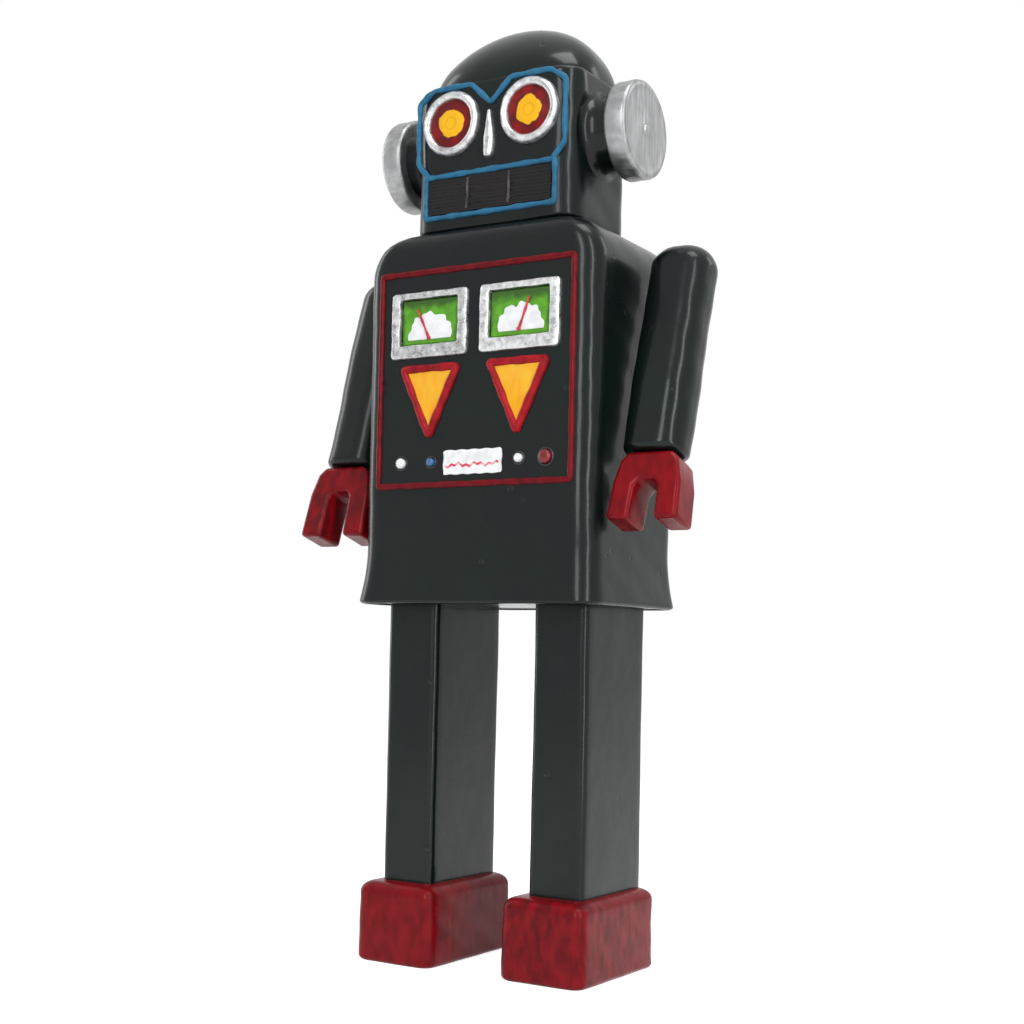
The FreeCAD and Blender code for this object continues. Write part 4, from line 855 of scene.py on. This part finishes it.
    def strip_and_buttons(self, colours, face):
        low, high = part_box("chart_strip")
        half, tall = (high.x - low.x) / 2, (high.z - low.z) / 2
        centre = ((low.x + high.x) / 2, face, (low.z + high.z) / 2)
        signs, directions = plan_pattern(5, 30)
        corner = 0.7 * MM
        outline = signs * (np.array([half, tall]) - corner) + corner * directions + [centre[0], centre[2]]
        outline = outline + 0.12 * MM * np.sin(outline[:, ::-1] * 1400)
        piece("chart_paper", skin(raised(outline, face, face - low.y, 0.2 * MM)), "torso",
              finish("Chart paper", chart_paint, centre, half / MM, tuple(colours.white), paint(214, 60, 84)),
              ("chart_strip",))
        buttons = {"white_right": (colours.white, 0.86, 1.6), "white_left": (colours.white, 0.86, 1.35),
                   "blue": (paint(54, 104, 160), 0.7, 1.25), "red": (paint(132, 16, 28), 0.45, 2.1)}
        for name, (tone, shade, size) in buttons.items():
            node = f"button_{name}"
            low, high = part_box(node)
            proud = face - low.y
            middle = ((low.x + high.x) / 2, face, (low.z + high.z) / 2)
            radius = size * MM
            crown = np.array([(1, 0.45), (0.93, 0.72), (0.78, 0.9), (0.5, 0.98), (0.2, 1)]) * [radius, proud]
            profile = np.concatenate([[(radius, -2 * MM)], crown])
            rings = revolved(profile, middle, steps=40, lumps=0.03, phase=radius * 900)
            piece(f"{node}_cap", skin(rings), node,
                  finish(f"Button {name}", plain_paint, tuple(tone), tinted(tone, shade), rough=0.24,
                         scale=500.0, specular=0.5), (node,))
            collar = np.array([(0.12, -0.3), (0.12, 0.12), (0.4, 0.22), (0.75, 0.1), (0.75, -0.3)]) * MM
            rim = revolved(collar + [radius, 0], middle, steps=40)
            piece(f"{node}_socket", skin(rim, closed=True), "torso",
                  finish("Socket black", plain_paint, paint(12, 13, 13), paint(22, 24, 24), rough=0.3))


class ROBOT_OT_head(bpy.types.Operator):
    """Head box of rounded rectangle rings, and a dome whose plan eases from a rounded square to an oval"""
    bl_idname = "robot.head"
    bl_label = "Head and dome"

    def execute(self, context):
        sizes = context.scene.robot_head
        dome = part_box("head_dome")
        low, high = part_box("head_shell")
        crease = dome[0].z
        front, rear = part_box("face_trim")[1].y, high.y
        half_x, half_y, centre = dome[1].x + 0.3 * MM, (rear - front) / 2, (0.0, (front + rear) / 2)
        level, inset = rounded_ends(low.z, crease, sizes.edge, sizes.edge, 26)
        rings = rings_of(half_x - inset, half_y - inset, sizes.corner, level, centre, steps=(10, 22))
        points, faces = skin(rings)
        points = uneven(points, 0.18 * MM, phase=1.3)
        piece("head_skin", (points, faces), "head", case_enamel(), ("head_shell",))
        rise = np.radians(np.linspace(0, 88, 40))
        turn = np.linspace(0, 2 * math.pi, 160, endpoint=False)
        power = 2 + 0.5 * np.cos(rise) ** 6
        turn_in = np.clip(np.sin(turn), 0, 1) ** 0.5
        power = power[:, None] + 1.8 * np.cos(rise)[:, None] ** 2 * turn_in
        cosine, sine = np.cos(turn), np.sin(turn)
        size = np.cos(rise)[:, None]
        plan_x = np.sign(cosine) * np.abs(cosine) ** (2 / power) * size * (dome[1].x - dome[0].x) / 2
        plan_y = np.sign(sine) * np.abs(sine) ** (2 / power) * size * (dome[1].y - dome[0].y) / 2
        foot, back = crease - 0.8 * MM, (dome[0].y + dome[1].y) / 2 + 4.5 * MM * np.sin(rise)[:, None] ** 2
        height = foot + (np.sin(rise) ** 1.1 * (dome[1].z - foot))[:, None]
        points, faces = skin(np.stack(np.broadcast_arrays(plan_x, plan_y + back, height), -1))
        piece("dome_cap", (uneven(points, 0.15 * MM, 30 * MM, 2.0), faces), "head",
              case_enamel(), ("head_dome",), sharp=60)
        return {"FINISHED"}


class ROBOT_OT_face(bpy.types.Operator):
    """Face: raised blue line round brows and mouth, ribbed grille, silver rings, painted eyes, wedge nose"""
    bl_idname = "robot.face"
    bl_label = "Face"

    def execute(self, context):
        sizes, colours = context.scene.robot_head, context.scene.robot_paint
        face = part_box("face_trim")[1].y
        blue = finish("Blue line", brushed_paint, tuple(colours.blue), tinted(colours.blue, 0.62),
                      (420.0, 420.0, 420.0), gloss=0.36, pits=0.02)
        half = sizes.line / 2
        right = np.array([(0, 270.8), (7.3, 278.4), (22, 278.4), (27.7, 274.3), (27.7, 254), (23.5, 248.4)]) * MM
        inward = np.array([(0, -0.3), (0, -0.9), (-0.5, -0.9), (-0.9, -0.4), (-0.9, 0.3), (-0.6, 1.2)]) * MM
        right = right + inward
        brow = np.concatenate([(right * [-1, 1])[:0:-1], right])
        brow = bead(brow, face, sizes.line, sizes.line_raise, closed=False, wobble=0.12, reach=2)
        piece("brow_line", skin(brow), "head", blue, ("face_trim",))
        side, low, high = 24.5 * MM - half, 235.2 * MM + half, 250.2 * MM - half
        mouth = bead([(-side, low), (side, low), (side, high), (-side, high)], face, sizes.line, sizes.line_raise,
                     wobble=0.12, phase=2.0, reach=1)
        piece("mouth_line", skin(mouth, closed=True), "head", blue, ("face_trim",))
        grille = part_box("mouth_grille")
        x, z = np.meshgrid(np.linspace(grille[0].x, grille[1].x, 180), np.linspace(grille[0].z, grille[1].z, 90))
        tall = grille[1].z - grille[0].z
        rib = np.abs(np.sin((z + 0.15 * MM * np.sin(x * 420) - grille[0].z) / tall * 5 * math.pi)) ** 0.45
        out = (0.1 + 0.45 * rib) * MM
        piece("grille_plate", relief(x, z, out, face), "head",
              finish("Grille black", enamel, paint(22, 17, 17), paint(12, 10, 11), grain=0.1, wave=0.3, gloss=0.3,
                     pits=0.1), ("mouth_grille",))
        for name, at in (("left", 7.4), ("right", -7.8)):
            bar = np.array([(at - 0.3, 237.3), (at + 0.25, 241.0), (at - 0.1, 244.5), (at + 0.2, 248.1)]) * MM
            bar = skin(bead(bar, face, 0.8 * MM, 1.05 * MM, closed=False, wobble=0.15))
            piece(f"grille_bar_{name}", bar, "head",
                  finish("Worn grille bar", brushed_paint, paint(92, 88, 88), paint(26, 22, 22),
                         (700.0, 700.0, 260.0), gloss=0.3))
        self.eyes(colours, face)
        return {"FINISHED"}

    def eyes(self, colours, face):
        for side, sign in SIDES.items():
            low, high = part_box(f"eye_ring_{side}")
            middle = ((low.x + high.x) / 2, face, (low.z + high.z) / 2)
            outer, proud, iris = (high.x - low.x) / 2, face - low.y, 7.6 * MM
            radius = np.array([0, 0, -0.45, -1.1, 0.9, 0.3, 0, 0]) * MM + np.repeat([outer, iris], 4)
            rise = np.array([0, 0.35, 0.75, 1, 0.97, 0.75, 0.4, 0]) * proud
            rise[[0, -1]] = SUNK
            rings = revolved(np.stack([radius, rise], -1), middle, lumps=0.012, phase=sign)
            piece(f"eye_rim_{side}", skin(rings, closed=True), "head", leaf_silver(),
                  (f"eye_ring_{side}",))
            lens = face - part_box(f"eye_lens_{side}")[0].y
            dish = [(iris, SUNK), (iris, 0.6 * lens), (iris * 0.9, 0.85 * lens), (iris * 0.6, lens),
                    (iris * 0.52, 1.25 * lens), (iris * 0.3, 1.35 * lens), (iris * 0.26, 1.25 * lens),
                    (iris * 0.12, 1.3 * lens)]
            piece(f"eye_paint_{side}", skin(revolved(dish, middle, lumps=0.01, phase=sign)), "head",
                  finish(f"Eye paint {side}", eye_paint, middle, paint(132, 10, 16), paint(92, 8, 14),
                         tuple(colours.yellow)), (f"eye_lens_{side}",))
        low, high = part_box("nose")
        level, inset = rounded_ends(low.z, high.z, 1.2 * MM, 0.6 * MM, 14, steps=5)
        share = (high.z - level) / (high.z - low.z)
        half = np.interp(share, [0, 0.3, 0.6, 0.85, 1], [0.45, 1.2, 1.95, 1.7, 1.35]) * MM - inset * 0.4
        proud = (face - low.y) * (0.62 + 0.38 * share) - inset * 0.7
        rings = rings_of(np.maximum(half, 0.25 * MM), proud, half * 0.8, level, steps=(7, 4))
        rings[..., 1] = face + np.minimum(rings[..., 1], 0.3 * MM)
        piece("nose_wedge", skin(rings), "head", leaf_silver(), ("nose",))


class ROBOT_OT_ears(bpy.types.Operator):
    """Ears: turned bosses, and drum discs with a raised rim, a brushed face, a small pip and a shallow dish"""
    bl_idname = "robot.ears"
    bl_label = "Ears"

    def execute(self, context):
        metal = tuple(context.scene.robot_paint.metal)
        for side, sign in SIDES.items():
            low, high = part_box(f"ear_disc_{side}")
            radius, middle = (high.z - low.z) / 2, (0.0, (low.y + high.y) / 2, (low.z + high.z) / 2)
            face, back = max(abs(low.x), abs(high.x)), min(abs(low.x), abs(high.x))
            flat = face - 0.5 * MM
            axis = "x" if side == "left" else "-x"
            boss = np.array([(15, 29.2), (13.4, 29.9), (12.3, 31.2), (11.7, 33), (11.5, back / MM + 0.4)]) * MM
            boss = skin(revolved(boss, middle, axis))
            piece(f"ear_boss_{side}", boss, "head", case_enamel(), ("head_shell",))
            drum = np.concatenate([
                np.array([(-1.4, 0), (-0.4, 0.3), (0, 1.1), (-0.1, 3.4)]) * MM + [radius, back],
                np.array([(0, -1.5), (-0.35, -0.5), (-1.1, -0.05), (-2, -0.25), (-4, -0.35)]) * MM + [radius, flat],
                np.array([(6, -0.3), (2.2, -0.25), (1.7, -0.1)]) * MM + [0, flat],
                np.array([(1.4, -0.1), (0.7, 0)]) * MM + [0, face]])
            rings = revolved(drum, middle, axis, steps=96, lumps=0.006, phase=sign)
            piece(f"ear_drum_{side}", skin(rings), "head",
                  finish("Brushed silver", silver, tinted(metal, 0.54), size=300.0, least=0.3, dark=0.55,
                         strength=0.3, stretch=(260.0, 900.0, 110.0)), (f"ear_disc_{side}",), sharp=50)
        return {"FINISHED"}


class ROBOT_OT_arms(bpy.types.Operator):
    """Arms: rounded rectangle rings with a domed crown, leaned about the shoulder; hands: faceted claws"""
    bl_idname = "robot.arms"
    bl_label = "Arms and hands"

    def execute(self, context):
        sizes = context.scene.robot_limbs
        for side, sign in SIDES.items():
            ends = (-sizes.arm_foot, sizes.arm_top)
            level, inset = rounded_ends(*ends, sizes.arm_hem, sizes.arm_crown, 26, steps=9)
            belly = np.interp(level, [ends[0], -10 * MM, ends[1]], [0, sizes.arm_belly, 0])
            rings = rings_of(sizes.arm_width / 2 - inset, sizes.arm_depth / 2 - inset + belly, sizes.arm_corner,
                             level, steps=(12, 4))
            points, faces = skin(rings)
            points = uneven(points, 0.2 * MM, 30 * MM, 3.0 + sign)
            piece(f"arm_{side}_skin", (leaned(points, side, sizes), faces), f"arm_{side}",
                  case_enamel(), (f"arm_{side}",))
            tip, slim = (-79.6, 0.92) if side == "left" else (-82.7, 1.0)
            claw = np.array([(-12.5, tip), (-11.9, -68), (-10.2, -61), (-7.8, -58.4), (7.8, -58.4), (10.2, -61),
                             (11.9, -68), (12.5, tip), (4.4, tip), (4.0, -69.2), (2.4, -67.2), (-2.4, -67.2),
                             (-4.0, -69.2), (-4.4, tip)]) * MM
            prism, faces = skin(extruded(claw, -sizes.hand_depth / 2, sizes.hand_depth / 2))
            low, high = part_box(f"hand_{side}")
            shift = (low.x + high.x) / 2 - shoulder_pivot(side, sizes)[0]
            prism = leaned(prism * [slim, 1, 1] + [shift, 0, 0], side, sizes)
            piece(f"hand_{side}_claw", (prism, faces), f"hand_{side}", red_enamel(),
                  (f"hand_{side}",), bevel=sizes.facet)
        return {"FINISHED"}


class ROBOT_OT_legs(bpy.types.Operator):
    """Legs and feet: rounded rectangle rings, the feet with soft tops and a well for the roller"""
    bl_idname = "robot.legs"
    bl_label = "Legs and feet"

    def execute(self, context):
        sizes = context.scene.robot_limbs
        for side, sign in SIDES.items():
            low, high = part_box(f"leg_{side}")
            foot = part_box(f"foot_{side}")
            middle, half = (low + high) / 2, (high - low) / 2
            level = np.linspace(foot[1].z - 1 * MM, sizes.leg_top, 44)
            rings = rings_of(half.x, half.y, sizes.leg_corner, level, middle[:2], steps=(7, 14))
            points, faces = skin(rings)
            piece(f"leg_{side}_skin", (uneven(points, 0.12 * MM, 60 * MM, 5.0 + 2 * sign), faces), f"leg_{side}",
                  case_enamel(), (f"leg_{side}",))
            middle, half = (foot[0] + foot[1]) / 2, (foot[1] - foot[0]) / 2
            level, inset = rounded_ends(foot[0].z, foot[1].z, sizes.sole, sizes.foot_top, 12, steps=8)
            rings = rings_of(half.x - inset, half.y - inset, sizes.foot_corner, level, middle[:2], steps=(9, 20))
            points, faces = skin(rings)
            waved = uneven(points, 0.22 * MM, 22 * MM, 7.0 + sign)
            waved[:, 2] = np.maximum(waved[:, 2], foot[0].z)
            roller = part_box(f"foot_roller_{side}")
            gap = 0.5 * MM
            well = box_surface((roller[0].x - gap, roller[0].y - gap, -2 * MM),
                               (roller[1].x + gap, roller[1].y + gap, roller[1].z + gap))
            piece(f"foot_{side}_skin", (waved, faces), f"leg_{side}", red_enamel(),
                  (f"foot_{side}",), cutters=[well])
            dress(f"foot_roller_{side}", inner("Black rubber", (30, 30, 31), (20, 20, 21), rough=0.65))
        return {"FINISHED"}


class ROBOT_OT_works(bpy.types.Operator):
    """Finishes of the drive, batteries, board and fasteners inside the case"""
    bl_idname = "robot.works"
    bl_label = "Works inside"

    def execute(self, context):
        steel = inner("Bright steel", (178, 180, 184), (132, 134, 138), metallic=0.95, rough=0.25)
        plastic = inner("Ivory plastic", (206, 200, 184), (190, 182, 164), rough=0.45)
        board = inner("Green board", (38, 96, 58), (26, 74, 46), rough=0.4)
        cell = inner("Cell jacket", (176, 130, 44), (44, 44, 48), rough=0.3, scale=60.0)
        case = inner("Motor can", (150, 152, 156), (110, 112, 116), metallic=0.9, rough=0.35)
        finishes = {steel: ("hip_shaft", "battery_contacts", "door_hinge_pin", "case_screws", "crank_shaft"),
                    plastic: ("battery_tray", "power_switch_body", "gearbox_frame", "neck_post", "layshaft",
                              "motor_pinion", "shoulder_lever_left", "shoulder_lever_right"),
                    board: ("circuit_board",), cell: ("battery_cells",), case: ("motor",)}
        for made, nodes in finishes.items():
            for node in nodes:
                dress(node, made)
        return {"FINISHED"}


# each lamp's place, its width and height, and its share of the key lamp's power
LAMPS = {"Key": ((0.88, -0.52, 0.62), (0.16, 1.25), 0.65), "Front": ((0.22, -1.25, 0.72), (0.34, 1.1), 0.95),
         "Side": ((-1.05, -0.1, 0.6), (0.3, 1.2), 0.5), "Back": ((0.75, 0.8, 0.9), (0.3, 0.6), 0.22),
         "Top": ((0.35, -0.15, 1.25), (0.5, 0.5), 0.6)}


class ROBOT_OT_studio(bpy.types.Operator):
    """Studio: a wide pale floor that keeps a faint shadow, soft lamps, a white room and the camera"""
    bl_idname = "robot.studio"
    bl_label = "Studio"

    def execute(self, context):
        scene, settings = context.scene, context.scene.robot_studio
        self.floor()
        self.room(scene, settings)
        for name, (place, size, share) in LAMPS.items():
            self.lamp(name, place, size, settings.key * share)
        data = bpy.data.cameras.new("Camera")
        data.lens, data.sensor_width = settings.lens, 36.0
        data.shift_x, data.shift_y = settings.shift
        data.clip_start, data.clip_end = 0.01, 60.0
        camera = placed("Camera", data)
        turn, pitch, roll = settings.azimuth, settings.pitch, settings.roll
        ahead = Vector((-math.sin(turn) * math.cos(pitch), math.cos(turn) * math.cos(pitch), math.sin(pitch)))
        right = Vector((math.cos(turn), math.sin(turn), 0))
        up = right.cross(ahead)
        across = right * math.cos(roll) + up * math.sin(roll)
        above = -right * math.sin(roll) + up * math.cos(roll)
        camera.matrix_world = Matrix.Translation(Vector(settings.camera)) @ Matrix(
            (across, above, -ahead)).transposed().to_4x4()
        scene.camera = camera
        scene.view_settings.view_transform = "Standard"
        return {"FINISHED"}

    def floor(self):
        mesh = bpy.data.meshes.new("floor")
        edge = 6.0
        corners = np.array([[-1, -1, 0], [1, -1, 0], [1, 1, 0], [-1, 1, 0]]) * edge
        mesh.from_pydata(corners.tolist(), [], [[0, 1, 2, 3]])
        floor = placed("floor", mesh)
        made, tree, sockets = material("Studio floor", Roughness=0.9, Specular_IOR_Level=0.1)
        place = own_place(tree)
        speck = noise(tree, place, 3.0)
        tree.links.new(blend(tree, speck, (0.8, 0.8, 0.8), (0.82, 0.82, 0.82)), sockets["Base Color"])
        glow = add(tree, "ShaderNodeEmission", {"Color": (1, 1, 1, 1),
                                                "Strength": times(tree, white_rays(tree), 0.79)})
        both = add(tree, "ShaderNodeAddShader", {0: tree.nodes["Principled BSDF"].outputs[0], 1: glow.outputs[0]})
        tree.links.new(both.outputs[0], tree.nodes["Material Output"].inputs["Surface"])
        mesh.materials.append(made)

    def room(self, scene, settings):
        scene.world = bpy.data.worlds.new("Room")
        scene.world.use_nodes = True
        tree = scene.world.node_tree
        strength = plus(tree, settings.room, times(tree, white_rays(tree), 1.0 - settings.room))
        sky = tree.nodes["Background"]
        sky.inputs["Color"].default_value = (1, 1, 1, 1)
        tree.links.new(strength, sky.inputs["Strength"])

    def lamp(self, name, place, size, power):
        data = bpy.data.lights.new(name, "AREA")
        data.shape, data.size, data.size_y, data.energy = "RECTANGLE", size[0], size[1], power
        lamp = placed(name, data)
        aim = Vector((0, 0, 0.15 if name == "Top" else place[2])) - Vector(place)
        lamp.matrix_world = Matrix.Translation(place) @ aim.to_track_quat("-Z", "Y").to_matrix().to_4x4()


class ROBOT_PT_looks(bpy.types.Panel):
    """Sizes, paints and builders of the walking robot's looks"""
    bl_idname = "ROBOT_PT_looks"
    bl_label = "Walking robot"
    bl_space_type = "VIEW_3D"
    bl_region_type = "UI"
    bl_category = "Robot"

    def draw(self, context):
        for operator in BUILDERS:
            self.layout.operator(operator.bl_idname)
        for name, kind in SETTINGS.items():
            box = self.layout.box()
            for entry in kind.__annotations__:
                box.prop(getattr(context.scene, name), entry)


SETTINGS = {"robot_case": CaseSizes, "robot_head": HeadSizes, "robot_limbs": LimbSizes,
            "robot_paint": PaintColours, "robot_studio": StudioSettings}
BUILDERS = (ROBOT_OT_case, ROBOT_OT_panel, ROBOT_OT_head, ROBOT_OT_face, ROBOT_OT_ears, ROBOT_OT_arms,
            ROBOT_OT_legs, ROBOT_OT_works, ROBOT_OT_studio)


def register():
    for kind in (*SETTINGS.values(), *BUILDERS, ROBOT_PT_looks):
        bpy.utils.register_class(kind)
    for name, kind in SETTINGS.items():
        setattr(bpy.types.Scene, name, PointerProperty(type=kind))


def unregister():
    for name in SETTINGS:
        delattr(bpy.types.Scene, name)
    for kind in (ROBOT_PT_looks, *reversed(BUILDERS), *reversed(SETTINGS.values())):
        bpy.utils.unregister_class(kind)


def main():
    register()
    for operator in BUILDERS:
        getattr(bpy.ops.robot, operator.bl_idname.split(".")[1])()


if __name__ == "__main__":
    main()
